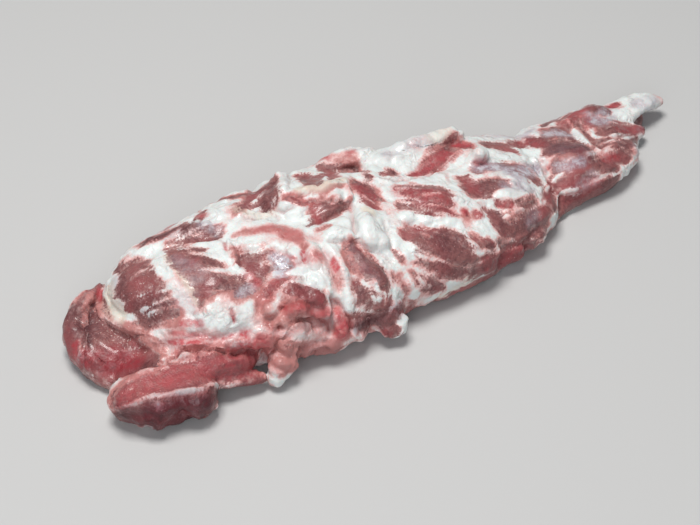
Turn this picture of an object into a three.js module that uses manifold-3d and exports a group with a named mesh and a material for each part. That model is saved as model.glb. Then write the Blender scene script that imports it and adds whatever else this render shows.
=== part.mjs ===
// A whole, untrimmed pork pluma: the feather-shaped muscle from the neck end of a pork loin.
// It lies on its flat side, thick and blunt at the near end (-X), drawn out to a thin tail (+X).
// It is one solid: a long body with the swells and seams of its muscles, two flaps of lean meat
// under the blunt end, rolls and lumps of fat along the far side (+Y), and the tags of meat and
// fat that hang from the near side (-Y). Units are millimetres, +Z is up, and it rests on z = 0.
import * as THREE from "three";
import { mergeVertices } from "three/addons/utils/BufferGeometryUtils.js";
import Module from "manifold-3d";

const wasm = await Module();
wasm.setup();

// ---- Driving dimensions ----
// The body's plan outline and height, at stations along its length.
const stations = [
  { x: -141, near: 4, far: 34, crest: 21 },
  { x: -130, near: -12, far: 41, crest: 29 },
  { x: -112, near: -25, far: 42.5, crest: 35 },
  { x: -90, near: -35, far: 45, crest: 36.5 },
  { x: -62, near: -42, far: 48, crest: 37 },
  { x: -35, near: -44, far: 50, crest: 36 },
  { x: -5, near: -43, far: 47, crest: 34 },
  { x: 22, near: -42, far: 42, crest: 31 },
  { x: 46, near: -38, far: 38, crest: 27 },
  { x: 66, near: -31.5, far: 31, crest: 22 },
  { x: 82, near: -26.5, far: 25.5, crest: 20 },
  { x: 105, near: -25, far: 25.5, crest: 17.5 },
  { x: 128, near: -14, far: 26, crest: 14 },
  { x: 152, near: 2, far: 18, crest: 8 },
];
const bodyRings = 76;
const topSides = 34; // of each ring, over the top and down to the widest line
const underSides = 12; // of each ring, under the widest line
const trim = 1.5; // cut off the underside, to give the flat that it rests on
const widestShare = 0.36; // height of the widest line, as a share of the crest
const crestLean = 0.16; // how far the crest leans to the far side, as a share of the half width
const roughGrain = 15; // size of the body's random unevenness
const roughHeight = 1.1;

// Swells (rise above 0) and seams (below 0) in the body's surface: each is a line in plan, from
// one x, y to another, with the half width and the height of what stands along it.
const relief = [
  { name: "eye muscle", from: [-118, 8], to: [-100, -6], width: 20, rise: 3 },
  { name: "back strap", from: [-112, 34], to: [-72, 24], width: 8, rise: 2.2 },
  { name: "seam under back strap", from: [-118, 24], to: [-88, 16], width: 4.5, rise: -2 },
  { name: "seam after eye muscle", from: [-84, 12], to: [-88, -14], width: 5, rise: -1.6 },
  { name: "saddle muscle", from: [-70, 4], to: [-56, -6], width: 10, rise: 1.8 },
  { name: "folded muscle", from: [-46, 18], to: [-24, 8], width: 11, rise: 4 },
  { name: "seam before folded muscle", from: [-60, 22], to: [-56, 8], width: 4.5, rise: -3 },
  { name: "seam under folded muscle", from: [-56, 6], to: [-30, -3], width: 4, rise: -2.6 },
  { name: "fat finger", from: [-62, -14], to: [-52, -27], width: 5, rise: 2 },
  { name: "small lobule", from: [-46, -14], to: [-42, -13], width: 5.5, rise: 2.6 },
  { name: "large lobule", from: [-33, -16], to: [-27, -8], width: 7, rise: 3.6 },
  { name: "cross seam", from: [-21, 9], to: [-33, -12], width: 3.8, rise: -3.4 },
  { name: "cross seam, low end", from: [-37, -22], to: [-30, -42], width: 4, rise: -2.6 },
  { name: "middle muscle", from: [-42, -26], to: [-37, -37], width: 6, rise: 2.6 },
  { name: "belly muscle", from: [-52, -44], to: [-44, -45], width: 8, rise: 2 },
  { name: "seam behind band", from: [-14, 16], to: [-6, -24], width: 4, rise: -1.6 },
  { name: "grained muscle", from: [0, -6], to: [16, -18], width: 9, rise: 2.2 },
  { name: "hollow behind ridge", from: [8, 12], to: [34, 4], width: 5, rise: -3.4 },
  { name: "dark hollow", from: [-12, 28], to: [-6, 26], width: 5, rise: -4.5 },
  { name: "flank muscle", from: [-2, -34], to: [16, -40], width: 9, rise: 3 },
  { name: "seam over flank muscle", from: [-8, -24], to: [14, -30], width: 3.6, rise: -1.8 },
  { name: "oval muscle", from: [44, -16], to: [56, -16], width: 13, rise: 3 },
  { name: "seam before oval", from: [26, -2], to: [32, -24], width: 4.5, rise: -2.2 },
  { name: "neck seam", from: [80, 24], to: [71, -12], width: 5, rise: -3 },
  { name: "neck seam, low end", from: [72, -12], to: [71, -32], width: 5.5, rise: -5.5 },
  { name: "tail muscle", from: [86, -12], to: [98, -14], width: 9, rise: 2.4 },
  { name: "tail seam", from: [104, 10], to: [101, -20], width: 4, rise: -2.2 },
  { name: "tail end muscle", from: [112, -12], to: [120, -8], width: 7, rise: 2 },
  { name: "torn edge, swell", from: [-80, -28], to: [-68, -32], width: 7, rise: 3.4 },
  { name: "torn edge, crack", from: [-80, -38], to: [-62, -40], width: 3.6, rise: -4 },
  { name: "valley in far edge", from: [14, 46], to: [24, 34], width: 9, rise: -5 },
  { name: "notch in far edge", from: [-56, 50], to: [-52, 34], width: 6, rise: -3 },
];

// Lumps joined to the body. Each runs along a path of x, y, z points with a half width and a
// half thickness; taper thins its last end, and square makes its section more like a box.
const lumps = [
  // Two flaps of lean meat under the blunt end.
  {
    name: "sheet flap",
    path: [[-134, 29, 10], [-138, 8, 6.5], [-132, -15, 6]],
    wide: 15, thick: 7, sides: 18,
  },
  {
    name: "sheet rim",
    path: [[-133, 32, 16], [-142, 29, 13], [-151, 20, 8.5], [-152, 5, 6], [-147, -9, 5]],
    wide: 5, thick: 6, rings: 14,
  },
  {
    name: "slab flap",
    path: [[-148, -23.5, 9], [-138, -29.5, 9.5], [-124.5, -35.5, 9]],
    wide: 13.5, thick: 9.5, taper: -0.06, square: 0.35, sides: 20,
  },
  {
    name: "slab root",
    path: [[-142, -14, 8], [-122, -21, 11.5], [-100, -29, 12]],
    wide: 12, thick: 7.5, square: 0.2,
  },
  {
    name: "slab tip",
    path: [[-116, -33, 9], [-106, -36, 7.5], [-98, -39.5, 6]],
    wide: 5.5, thick: 4, taper: 0.6,
  },
  // Fat and meat along the near side.
  {
    name: "fat lip",
    path: [[-130, -2, 13], [-111, -15, 17], [-94, -25, 18], [-76, -30, 20]],
    wide: 9, thick: 7, rings: 14,
  },
  {
    name: "pink lobules",
    path: [[-124, -10, 12], [-112, -20, 13], [-96, -30, 13]],
    wide: 6, thick: 5,
  },
  {
    name: "hanging tag",
    path: [[-76, -30, 20], [-83, -37.5, 13], [-90, -42, 6.5]],
    wide: 8.5, thick: 6.5, taper: 0.45,
  },
  {
    name: "torn lump",
    path: [[-79, -33, 12], [-68, -35.5, 11], [-56, -38, 10]],
    wide: 8, thick: 7.5,
  },
  {
    name: "red bead",
    path: [[-60, -35, 21], [-59, -39, 15], [-60, -41, 11]],
    wide: 5, thick: 5, sides: 8,
  },
  { name: "white nub", path: [[-54.5, -38.5, 12], [-51, -42, 9.5]], wide: 4, thick: 4, sides: 8 },
  {
    name: "hanging disc",
    path: [[-37, -38, 18], [-37.5, -43.5, 12], [-38, -47, 8.5]],
    wide: 8, thick: 6,
  },
  { name: "under fat", path: [[-10, -39, 7], [8, -38, 6], [28, -38, 7]], wide: 6, thick: 5 },
  { name: "flank lip", path: [[16, -35.5, 9], [34, -35, 9], [48, -34, 10]], wide: 8.5, thick: 6 },
  {
    name: "tail fat edge",
    path: [[92, -22, 9], [110, -19, 9], [124, -12, 8]],
    wide: 6, thick: 5.5,
  },
  // Fat and meat along the far side.
  {
    name: "far fat lump",
    path: [[-78, 32, 27], [-67, 33, 28.5], [-57, 31, 28.5]],
    wide: 8, thick: 6.5,
  },
  {
    name: "far fat point",
    path: [[-50, 32, 28], [-40, 36, 31]],
    wide: 6, thick: 6, taper: 0.4, sides: 8,
  },
  { name: "red roll", path: [[-20, 35, 26], [-8, 35, 27], [2, 31, 27]], wide: 7, thick: 6.5 },
  {
    name: "white fin",
    path: [[2, 28, 23], [20, 25.5, 24], [36, 25, 25], [46, 23, 26.5]],
    wide: 5.5, thick: 8, taper: 0.25,
  },
  {
    name: "white button",
    path: [[42, 3, 27], [46, 3, 28.5]],
    wide: 4, thick: 4, sides: 8, rings: 6,
  },
  { name: "far tail swell", path: [[104, 13, 12], [126, 13, 11]], wide: 8, thick: 7 },
  {
    name: "tail fin",
    path: [[126, 11.5, 10], [140, 11, 10], [153, 11.5, 10.5], [160, 10, 9]],
    wide: 10.5, thick: 4.5, taper: 0.62, rings: 12,
  },
  { name: "tail point", path: [[122, -2, 8], [139, -2, 7]], wide: 7, thick: 5.5, taper: 0.5 },
];
const lumpRings = 10;
const lumpSides = 12;
const lumpUneven = 0.24; // random part of a lump's girth

// ---- Helpers ----
const between = (a, b, t) => a + (b - a) * t;
const smooth = (t) => t * t * (3 - 2 * t);

// Smooth value of one column of the stations at x.
function along(x, key) {
  const last = stations.length - 1;
  let i = 0;
  while (i < last - 1 && stations[i + 1].x < x) i += 1;
  const at = (k) => stations[Math.min(Math.max(k, 0), last)];
  const slope = (k) => (at(k + 1)[key] - at(k - 1)[key]) / (at(k + 1).x - at(k - 1).x);
  const span = at(i + 1).x - at(i).x;
  const t = Math.min(Math.max((x - at(i).x) / span, 0), 1);
  return (
    (2 * t ** 3 - 3 * t ** 2 + 1) * at(i)[key] +
    (t ** 3 - 2 * t ** 2 + t) * slope(i) * span +
    (3 * t ** 2 - 2 * t ** 3) * at(i + 1)[key] +
    (t ** 3 - t ** 2) * slope(i + 1) * span
  );
}

// Seeded smooth noise from -1 to 1, with cells of the given size.
function noise(point, size) {
  const hash = (i, j, k) => {
    const s = Math.sin(i * 127.1 + j * 311.7 + k * 74.7) * 43758.5453;
    return 2 * (s - Math.floor(s)) - 1;
  };
  const cell = ["x", "y", "z"].map((axis) => Math.floor(point[axis] / size));
  const [tx, ty, tz] = ["x", "y", "z"].map((axis, n) => smooth(point[axis] / size - cell[n]));
  const corner = (a, b, c) => hash(cell[0] + a, cell[1] + b, cell[2] + c);
  const row = (b, c) => between(corner(0, b, c), corner(1, b, c), tx);
  return between(between(row(0, 0), row(1, 0), ty), between(row(0, 1), row(1, 1), ty), tz);
}

// Height of all swells and seams at a place in plan.
function reliefAt(x, y) {
  let height = 0;
  for (const { from, to, width, rise } of relief) {
    const [dx, dy] = [to[0] - from[0], to[1] - from[1]];
    const t = ((x - from[0]) * dx + (y - from[1]) * dy) / (dx * dx + dy * dy);
    const clamped = Math.min(Math.max(t, 0), 1);
    const away = Math.hypot(x - from[0] - clamped * dx, y - from[1] - clamped * dy);
    height += rise * Math.exp(-((away / width) ** 2));
  }
  return height;
}

function solidOf(geometry) {
  geometry.deleteAttribute("normal");
  geometry.deleteAttribute("uv");
  const merged = mergeVertices(geometry, 1e-3);
  const vertProperties = merged.attributes.position.array;
  const triVerts = new Uint32Array(merged.index.array);
  return new wasm.Manifold(new wasm.Mesh({ numProp: 3, vertProperties, triVerts }));
}

// A sphere's grid with every point moved by place(u, turn): u goes 0 to 1 from pole to pole, and
// turn goes round, as turnOf gives it for each of the grid's sides.
function moulded(rings, sides, turnOf, place) {
  const geometry = new THREE.SphereGeometry(1, sides, rings);
  const { position, uv } = geometry.attributes;
  for (let i = 0; i < position.count; i += 1) {
    const u = 1 - uv.getY(i);
    const atPole = u < 1e-6 || u > 1 - 1e-6;
    const side = atPole ? 0 : Math.round(uv.getX(i) * sides) % sides;
    position.setXYZ(i, ...place(u, turnOf(side)));
  }
  return solidOf(geometry);
}

// ---- The body ----
const bodyTurn = (side) =>
  side < underSides
    ? -Math.PI * (side / underSides)
    : -Math.PI * (1 + (side - underSides) / topSides);

function bodyPlace(u, turn) {
  const share = between(u, 0.5 - 0.5 * Math.cos(Math.PI * u), 0.4);
  const x = between(stations[0].x, stations.at(-1).x, share);
  const closing = Math.sqrt(Math.max(0, 1 - Math.abs(2 * share - 1) ** 9));
  const [near, far, crest] = ["near", "far", "crest"].map((key) => along(x, key));
  const half = ((far - near) / 2) * closing;
  const across = Math.sign(Math.cos(turn)) * Math.abs(Math.cos(turn)) ** 0.85;
  const up = Math.sin(turn);
  const widest = crest * widestShare;
  const height = up > 0
    ? (crest - widest) * closing * up ** 0.85
    : -(widest + trim) * closing * Math.abs(up) ** 0.5;
  const lean = crestLean * half * Math.max(0, up) * (1 - Math.abs(across));
  const y = (near + far) / 2 + half * across + lean;
  const shown = smooth(Math.min(Math.max((up + 0.5) / 0.6, 0), 1)) * closing;
  const grain = roughHeight * noise({ x, y, z: 2 * height }, roughGrain);
  const out = shown * (reliefAt(x, y) + grain) + (1 - shown) * grain * 0.5 * closing;
  return [x, y + out * Math.cos(turn), widest + height + out * up];
}

// ---- Lumps ----
function lumpSolid({ path, wide, thick, taper = 0, square = 0, rings = lumpRings, sides = lumpSides }) {
  const curve = new THREE.CatmullRomCurve3(path.map((p) => new THREE.Vector3(...p)));
  const reach = Math.min(wide, thick) * 0.9; // how far the ends go past the path
  return moulded(rings, sides, (side) => (side / sides) * -2 * Math.PI, (u, turn) => {
    const share = 0.5 - 0.5 * Math.cos(Math.PI * u);
    const centre = curve.getPoint(share);
    const ahead = curve.getTangent(share);
    centre.addScaledVector(ahead, reach * (2 * share - 1));
    const side = new THREE.Vector3(0, 0, 1).cross(ahead).normalize();
    const up = ahead.clone().cross(side);
    const girth = Math.max(0, Math.sin(Math.PI * u)) ** 0.75 * (1 - taper * share);
    const place = centre.clone().addScaledVector(side, 9 * Math.cos(turn));
    const uneven = 1 + lumpUneven * noise(place.addScaledVector(up, 5 * Math.sin(turn)), 8);
    const shape = (value) => Math.sign(value) * Math.abs(value) ** (1 - square);
    centre.addScaledVector(side, wide * girth * uneven * shape(Math.cos(turn)));
    centre.addScaledVector(up, thick * girth * uneven * shape(Math.sin(turn)));
    return centre.toArray();
  });
}

// ---- Join, and trim flat underneath ----
let joined = moulded(bodyRings, topSides + underSides, bodyTurn, bodyPlace);
for (const lump of lumps) joined = joined.add(lumpSolid(lump));
const cutDepth = 40;
const below = new THREE.BoxGeometry(400, 200, cutDepth).translate(0, 0, -cutDepth / 2);
joined = joined.subtract(solidOf(below));

// ---- The scene graph, with the origin at the middle of the underside's bounding box ----
function meshOf(solid, name, material) {
  const { vertProperties, triVerts } = solid.getMesh();
  const geometry = new THREE.BufferGeometry();
  geometry.setAttribute("position", new THREE.BufferAttribute(vertProperties, 3));
  geometry.setIndex(new THREE.BufferAttribute(triVerts, 1));
  geometry.computeBoundingBox();
  const middle = geometry.boundingBox.getCenter(new THREE.Vector3());
  geometry.translate(-middle.x, -middle.y, 0);
  geometry.computeVertexNormals();
  const mesh = new THREE.Mesh(geometry, material);
  mesh.name = name;
  return mesh;
}

const rawPork = new THREE.MeshStandardMaterial({ color: 0xb98583, roughness: 0.42, metalness: 0 });
const pluma = new THREE.Group();
pluma.add(meshOf(joined, "pork_pluma", rawPork));
export default pluma;
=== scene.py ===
import bpy, math
import numpy as np
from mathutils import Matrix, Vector
from mathutils.bvhtree import BVHTree


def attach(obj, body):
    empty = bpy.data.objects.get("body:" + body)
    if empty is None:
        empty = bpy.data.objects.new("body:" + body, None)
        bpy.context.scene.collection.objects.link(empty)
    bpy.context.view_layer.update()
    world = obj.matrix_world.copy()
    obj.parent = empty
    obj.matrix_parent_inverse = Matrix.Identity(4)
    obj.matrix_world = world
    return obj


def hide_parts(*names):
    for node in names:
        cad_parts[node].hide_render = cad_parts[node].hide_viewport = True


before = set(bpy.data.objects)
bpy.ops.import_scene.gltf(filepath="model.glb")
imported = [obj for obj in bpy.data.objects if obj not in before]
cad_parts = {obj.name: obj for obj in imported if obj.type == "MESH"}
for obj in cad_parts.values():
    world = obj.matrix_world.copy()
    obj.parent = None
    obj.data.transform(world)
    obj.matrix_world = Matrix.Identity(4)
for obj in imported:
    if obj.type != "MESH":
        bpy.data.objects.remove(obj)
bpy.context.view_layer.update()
random = np.random.default_rng(41)

# The camera looks down on the meat from the near left.
camera = {"azimuth": -34, "elevation": 42, "distance": 0.688, "lens": 82, "sensor": 36,
          "target": (-0.036, -0.0076, 0.0129), "width": 700, "height": 525}


def makeCamera(value):
    turn, lift = math.radians(value["azimuth"]), math.radians(value["elevation"])
    back = Vector((math.sin(turn) * math.cos(lift), -math.cos(turn) * math.cos(lift), math.sin(lift)))
    data = bpy.data.cameras.new("camera")
    data.lens, data.sensor_width = value["lens"], value["sensor"]
    data.clip_start = 0.01
    eye = bpy.data.objects.new("camera", data)
    bpy.context.scene.collection.objects.link(eye)
    eye.location = Vector(value["target"]) + value["distance"] * back
    eye.rotation_euler = back.to_track_quat("Z", "Y").to_euler()
    bpy.context.scene.camera = eye
    bpy.context.view_layer.update()
    return eye


eye = makeCamera(camera)
print("camera set")


def pixelRay(px, py):
    # from the camera through a pixel of the photo
    turned = eye.matrix_world.to_3x3()
    scale = camera["lens"] / camera["sensor"] * camera["width"]
    across = (px - camera["width"] / 2) / scale
    down = (py - camera["height"] / 2) / scale
    return eye.matrix_world.translation.copy(), (turned @ Vector((across, -down, -1))).normalized()


def smoothStep(value, low, high):
    t = np.clip((value - low) / (high - low), 0, 1)
    return t * t * (3 - 2 * t)


noiseLattice = random.uniform(-1, 1, (48, 48, 48)).astype(np.float32)


def noiseAt(points, size, shift=0.0):
    # smooth noise from -1 to 1 with cells of that size
    at = points / size + shift
    cell = np.floor(at).astype(int)
    t = at - cell
    t = t * t * (3 - 2 * t)
    total = np.zeros(len(points))
    for corner in np.ndindex(2, 2, 2):
        weight = np.prod([t[:, k] if corner[k] else 1 - t[:, k] for k in range(3)], axis=0)
        i, j, k = [(cell[:, n] + corner[n]) % 48 for n in range(3)]
        total += weight * noiseLattice[i, j, k]
    return total


def cellsAt(points, size, shift=0.0):
    # distances to the nearest and second nearest of scattered seeds, in cells
    at = points / size + shift
    cell = np.floor(at).astype(int)
    nearest = np.full(len(points), 9.0)
    second = np.full(len(points), 9.0)
    for offset in np.ndindex(3, 3, 3):
        corner = cell + np.array(offset) - 1
        i, j, k = [corner[:, n] % 48 for n in range(3)]
        seed = np.stack([noiseLattice[i, j, k], noiseLattice[j, k, i], noiseLattice[k, i, j]], 1)
        away = np.linalg.norm(corner + 0.5 + 0.42 * seed - at, axis=1)
        second = np.minimum(second, np.maximum(nearest, away))
        nearest = np.minimum(nearest, away)
    return nearest, second


# The meat is the CAD solid, remeshed finely, with its tissue painted on and raised.
# A stroke is a line of photo pixels that is looked up on the surface: x, y, half width in mm.
meat = {
    "voxel": 0.88,  # mm
    "smoothing": 6,
    "edgeNoise": ((7.0, 1.1), (2.6, 0.7)),  # size and reach of the unevenness of tissue edges, mm
    "lowTop": (6, 13),  # heights in mm under which the unpainted surface is mostly lean
    "grainRounds": 18,
    "fibre": (1.1, 10.0),  # width and length of a strand, mm
    "bundle": (2.2, 16.0),
    "feather": 2.1,  # mm that the edge of the lean runs out along its strands
    "bundleHeight": 0.28,
    "fatStep": 0.7,  # mm that fat stands over lean
    "lobuleSize": 6.0,
    "lobuleHeight": 0.55,
    "folds": ((5.5, 1.5), (2.8, 0.8)),  # size and height of the folds where it is torn
    "crumple": ((11.0, 0.7), (5.0, 0.4), (2.6, 0.25), (1.5, 0.12)),  # size and height of the unevenness
}

# Lean, fat and silverskin, in the order they lie over each other; the number is the way the
# grain runs in the photo, in degrees down to the right.
tissue = {
    # blunt end
    "sheet face": ("lean", 25, [(92, 322, 6), (100, 342, 9), (125, 345, 8), (148, 358, 6)]),
    "sheet foot": ("lean", 20, [(98, 362, 6), (125, 368, 7), (150, 368, 4)]),
    "sheet rim": ("lean", -60, [(99, 285, 2), (84, 303, 3), (70, 322, 5), (69, 342, 5), (80, 362, 5)]),
    "sheet hem fat": ("fat", 40, [(90, 298, 1.5), (101, 308, 2.0), (114, 319, 2.2), (136, 330, 2.2),
        (152, 338, 1.6)]),
    "sheet hem red": ("lean", 60, [(100, 292, 1.6), (101, 300, 1.4)]),
    "hem stripe": ("lean", 50, [(104, 300, 0.6), (108, 310, 0.7), (116, 317, 0.5)]),
    "strip fat": ("fat", 35, [(120, 321, 2.4), (138, 330, 2.6), (152, 336, 2.4)]),
    # painted shade: dark lean along the shaded channel by the strip
    "strip shade": ("lean", 35, [(140, 333, 0.8), (150, 340, 1.2), (158, 350, 2)]),
    "slab top": ("lean", -14, [(118, 398, 5), (145, 388, 7), (180, 374, 8), (215, 366, 8), (252, 360, 6)]),
    "slab tip": ("lean", -10, [(240, 372, 4), (260, 381, 2)]),
    "slab cut": ("lean", -8, [(132, 412, 7), (160, 412, 8), (190, 404, 8), (206, 398, 5)]),
    "slab back fat": ("fat", -25, [(116, 392, 1.0), (126, 382, 1.8), (142, 374, 1.9), (158, 369, 1.4),
        (170, 366, 0.8)]),
    "slab edge fat": ("fat", -12, [(122, 409, 0.5), (140, 399, 0.9), (156, 400, 0.8), (168, 395, 1.3),
        (188, 392, 1.1), (212, 386, 0.5)]),
    "slab seam": ("fat", 70, [(157, 400, 0.9), (159, 408, 0.9), (166, 414, 0.7)]),
    "slab seam low": ("fat", -30, [(186, 420, 1.0), (198, 412, 1.2), (206, 402, 0.7)]),
    # eye muscle and the saddle behind it
    "eye muscle": ("lean", -14, [(134, 271, 7), (139, 288, 10.5), (150, 302, 11), (162, 314, 7.5)]),
    "eye muscle top": ("lean", -14, [(122, 270, 3.5), (136, 265, 3.5), (151, 264, 2.5)]),
    "eye muscle tongue": ("lean", -12, [(150, 290, 5), (172, 294, 2.2)]),
    "eye muscle tongue low": ("lean", -8, [(160, 304, 5), (176, 305, 1.8)]),
    "eye muscle foot": ("lean", -6, [(158, 316, 4.5), (178, 318, 2.6)]),
    "eye streak a": ("fat", -20, [(135, 279, 0.5), (143, 273, 1.1), (156, 270, 1.2)]),
    "eye streak b": ("fat", -5, [(150, 289, 0.5), (162, 286, 0.9), (172, 284, 1.2)]),
    "eye streak c": ("fat", -14, [(142, 298, 0.4), (156, 293, 0.8), (172, 290, 1.0)]),
    "eye streak d": ("fat", -14, [(150, 314, 0.5), (164, 308, 0.9), (182, 308, 1.4)]),
    "eye streak e": ("fat", -12, [(156, 303, 0.5), (170, 299, 0.9), (180, 298, 1.0)]),
    "eye chip": ("fat", -40, [(144, 312, 0.8), (147, 308, 0.8)]),
    "saddle": ("lean", 5, [(172, 253, 3.5), (188, 262, 6.5), (210, 264, 3.6), (219, 266, 1.8)]),
    "saddle low": ("lean", 0, [(186, 266, 6.5), (204, 278, 6.5), (201, 292, 5), (199, 304, 3)]),
    "saddle tail": ("lean", -6, [(208, 281, 5), (228, 282, 4.2), (248, 279, 2)]),
    "saddle top": ("lean", -4, [(166, 250, 1.6), (186, 247, 1.6), (200, 250, 1.5)]),
    "saddle notch": ("fat", -4, [(200, 272, 0.5), (216, 273, 1.6), (234, 271, 2.2)]),
    "saddle fleck": ("fat", 5, [(186, 288, 0.9), (192, 287, 0.4)]),
    "strap far": ("lean", -26, [(144, 244, 1.6), (165, 233, 2.6), (188, 228, 3.0), (210, 231, 2.0), (220, 234, 1.2)]),
    "strap near": ("lean", -14, [(168, 243, 1.0), (188, 239, 2.2), (204, 241, 2.6), (218, 237, 1.4)]),
    "strap seam": ("fat", -22, [(152, 243, 0.8), (172, 238, 0.7), (190, 234, 0.4)]),
    "torn line": ("fat", 15, [(183, 242, 0.5), (190, 246, 0.6), (200, 248, 0.6)]),
    "cream rim": ("fat", 60, [(112, 288, 2.5), (112, 302, 3.2), (122, 313, 3), (136, 319, 1.6)]),
    # between the saddle and the fold
    "brown muscle": ("lean", -22, [(243, 262, 3.4), (256, 260, 3.8), (262, 270, 4.4), (257, 282, 3.6)]),
    "brown muscle top": ("lean", -20, [(240, 258, 2.0), (256, 255, 2.2), (270, 252, 1)]),
    "brown streak": ("fat", -25, [(254, 268, 0.5), (268, 261, 1)]),
    "dent muscle": ("lean", 0, [(238, 251, 0.8), (250, 251, 0.8), (262, 249, 0.4)]),
    "veiled muscle": ("lean", -20, [(236, 297, 2.2), (247, 291, 3.4), (257, 287, 2.6)]),
    "far red nub": ("lean", -60, [(202, 213, 2.0), (200, 219, 2.0)]),
    "recess": ("lean", 70, [(273, 181, 2.4), (269, 194, 5), (268, 208, 4)]),
    "recess far": ("lean", -40, [(268, 184, 3), (258, 194, 3.6), (248, 203, 2.6), (238, 213, 1.0)]),
    "recess near": ("lean", -15, [(246, 208, 1.4), (258, 204, 3)]),
    "recess line": ("fat", -40, [(252, 204, 0.4), (262, 196, 0.6), (268, 189, 0.4)]),
    # the fold
    "fold muscle far": ("lean", 12, [(304, 176, 3.4), (312, 184, 4.4), (322, 176, 3.2)]),
    "fold muscle edge": ("lean", 20, [(322, 169, 2.2), (330, 172, 2), (331, 180, 1.6)]),
    "fold red spot": ("lean", 15, [(290, 199, 1.4), (299, 202, 1.8)]),
    "fold streak": ("lean", -25, [(303, 205, 0.8), (315, 200, 0.7)]),
    "fold muscle": ("lean", -22, [(316, 210, 3.8), (330, 210, 3.6), (347, 206, 1.6)]),
    "fold muscle foot": ("lean", -28, [(309, 226, 0.8), (320, 220, 2.6), (336, 213, 2.4)]),
    "fold blush": ("lean", -35, [(321, 230, 1.4), (326, 227, 1.4)]),
    # painted shade: dark lean in the shaded hollow under the roll
    "roll shade": ("lean", 0, [(326, 168, 1.2), (340, 168, 1.6), (354, 169, 2.0)]),
    "hole muscle": ("lean", 5, [(354, 173, 1.8), (368, 177, 1.6)]),
    "hole muscle far": ("lean", 5, [(383, 176, 0.7), (393, 174, 1.8)]),
    "ridge muscle": ("lean", -38, [(412, 176, 1.6), (424, 171, 3), (438, 161, 4.4), (449, 149, 3.6),
        (452, 140, 1.6)]),
    # middle
    "band muscle": ("lean", 25, [(355, 184, 2.4), (364, 190, 4.4), (371, 199, 4.6), (374, 206, 2)]),
    "grained muscle": ("lean", 5, [(398, 188, 3.0), (414, 192, 6.0), (434, 194, 6.4), (446, 200, 4.0)]),
    "flank muscle top": ("lean", 24, [(408, 229, 1.2), (420, 234, 2.8), (436, 238, 3.6)]),
    "flank muscle": ("lean", 14, [(410, 236, 3.4), (432, 242, 7.5), (456, 250, 6.4), (474, 260, 3.0)]),
    "flank muscle far": ("lean", 20, [(436, 232, 1.2), (452, 234, 2.4), (462, 238, 1.6)]),
    "flank fleck": ("fat", 50, [(423, 233, 0.5), (425, 239, 0.6), (430, 236, 0.5)]),
    "flank line": ("fat", 22, [(416, 254, 0.8), (432, 258, 0.7), (446, 264, 0.6), (464, 270, 0.6)]),
    "lower flank": ("lean", 22, [(416, 262, 1.6), (436, 268, 3.4), (456, 273, 3.2), (470, 276, 2.4)]),
    "lower flank foot": ("lean", 35, [(414, 274, 1.2), (428, 284, 3.6), (440, 288, 2.6)]),
    "lower flank line": ("fat", 28, [(406, 263, 0.8), (420, 270, 0.7), (438, 277, 0.4)]),
    "lower flank streak": ("fat", 38, [(410, 274, 1.4), (420, 281, 1.2), (428, 287, 0.5)]),
    "middle muscle": ("lean", 45, [(352, 250, 3), (362, 261, 5), (375, 273, 5.4), (384, 284, 2.6)]),
    "middle muscle foot": ("lean", 60, [(356, 288, 2.4), (366, 299, 4.4), (381, 305, 4.2)]),
    "middle mottle": ("fat", 60, [(370, 294, 0.7), (375, 299, 1.0), (381, 298, 0.7)]),
    "thin muscle": ("lean", 62, [(398, 276, 1.4), (404, 290, 2)]),
    "thin muscle far": ("lean", 55, [(395, 252, 0.8), (400, 260, 1.2)]),
    "belly muscle": ("lean", 10, [(354, 318, 1.6), (368, 316, 1.6), (388, 318, 3.6), (408, 308, 3.4)]),
    # painted shade: dark lean where the belly lies in shade
    "belly shade": ("lean", 0, [(356, 328, 3), (368, 326, 3)]),
    "belly fat": ("fat", 55, [(396, 292, 2), (404, 300, 2.4), (408, 309, 1.2)]),
    "disc": ("lean", 30, [(378, 320, 2.4), (388, 328, 4), (394, 334, 3)]),
    "disc rim": ("fat", 80, [(402, 320, 1), (402, 332, 1.4), (397, 340, 1)]),
    "under fat": ("fat", -30, [(424, 300, 2.0), (444, 292, 2.6), (460, 284, 2.6), (478, 274, 2.2), (494, 268, 1.4)]),
    # torn edge
    "torn muscle": ("lean", 20, [(288, 292, 2.6), (302, 293, 3.6), (318, 298, 3)]),
    "torn red": ("lean", -50, [(266, 294, 2.0), (275, 285, 2.0), (288, 282, 1.2)]),
    "lower lump line": ("fat", -12, [(300, 345, 0.8), (316, 348, 0.7), (332, 341, 1.1)]),
    "tab line": ("fat", 25, [(258, 336, 0.4), (276, 341, 0.6), (292, 344, 0.4)]),
    # right end of the body
    "red dot a": ("lean", 30, [(464, 211, 1.0), (466, 214, 1.0)]),
    "red dot b": ("lean", 30, [(477, 215, 1.6), (480, 216, 1.6)]),
    "seam muscle": ("lean", 30, [(472, 238, 1.2), (480, 243, 2), (490, 247, 2)]),
    "seam arc": ("fat", 40, [(463, 238, 1.2), (471, 244, 0.9), (480, 251, 0.8), (492, 252, 0.7)]),
    "seam patch": ("fat", 30, [(476, 252, 1.6), (484, 258, 2.2)]),
    "edge muscle": ("lean", -14, [(470, 274, 2), (484, 266, 4), (504, 260, 4.4), (524, 254, 4.4), (536, 244, 3)]),
    "oval muscle": ("lean", -8, [(465, 180, 3), (472, 190, 5), (488, 187, 4.6), (504, 183, 2.6)]),
    "oval line": ("lean", -20, [(497, 204, 1.2), (510, 206, 1.2)]),
    "right muscle": ("lean", -20, [(490, 212, 4.0), (504, 224, 6.5), (524, 226, 6), (540, 214, 3.4)]),
    "right muscle far": ("lean", -30, [(522, 209, 2.6), (536, 203, 1.8)]),
    "right muscle foot": ("lean", -10, [(500, 243, 2), (520, 236, 3.2), (540, 230, 2.2)]),
    "right streak": ("fat", -18, [(496, 253, 0.5), (514, 247, 0.8), (528, 244, 0.4)]),
    "right fleck a": ("fat", 20, [(507, 217, 1.3), (510, 219, 1.5), (516, 218, 1.3)]),
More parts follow.
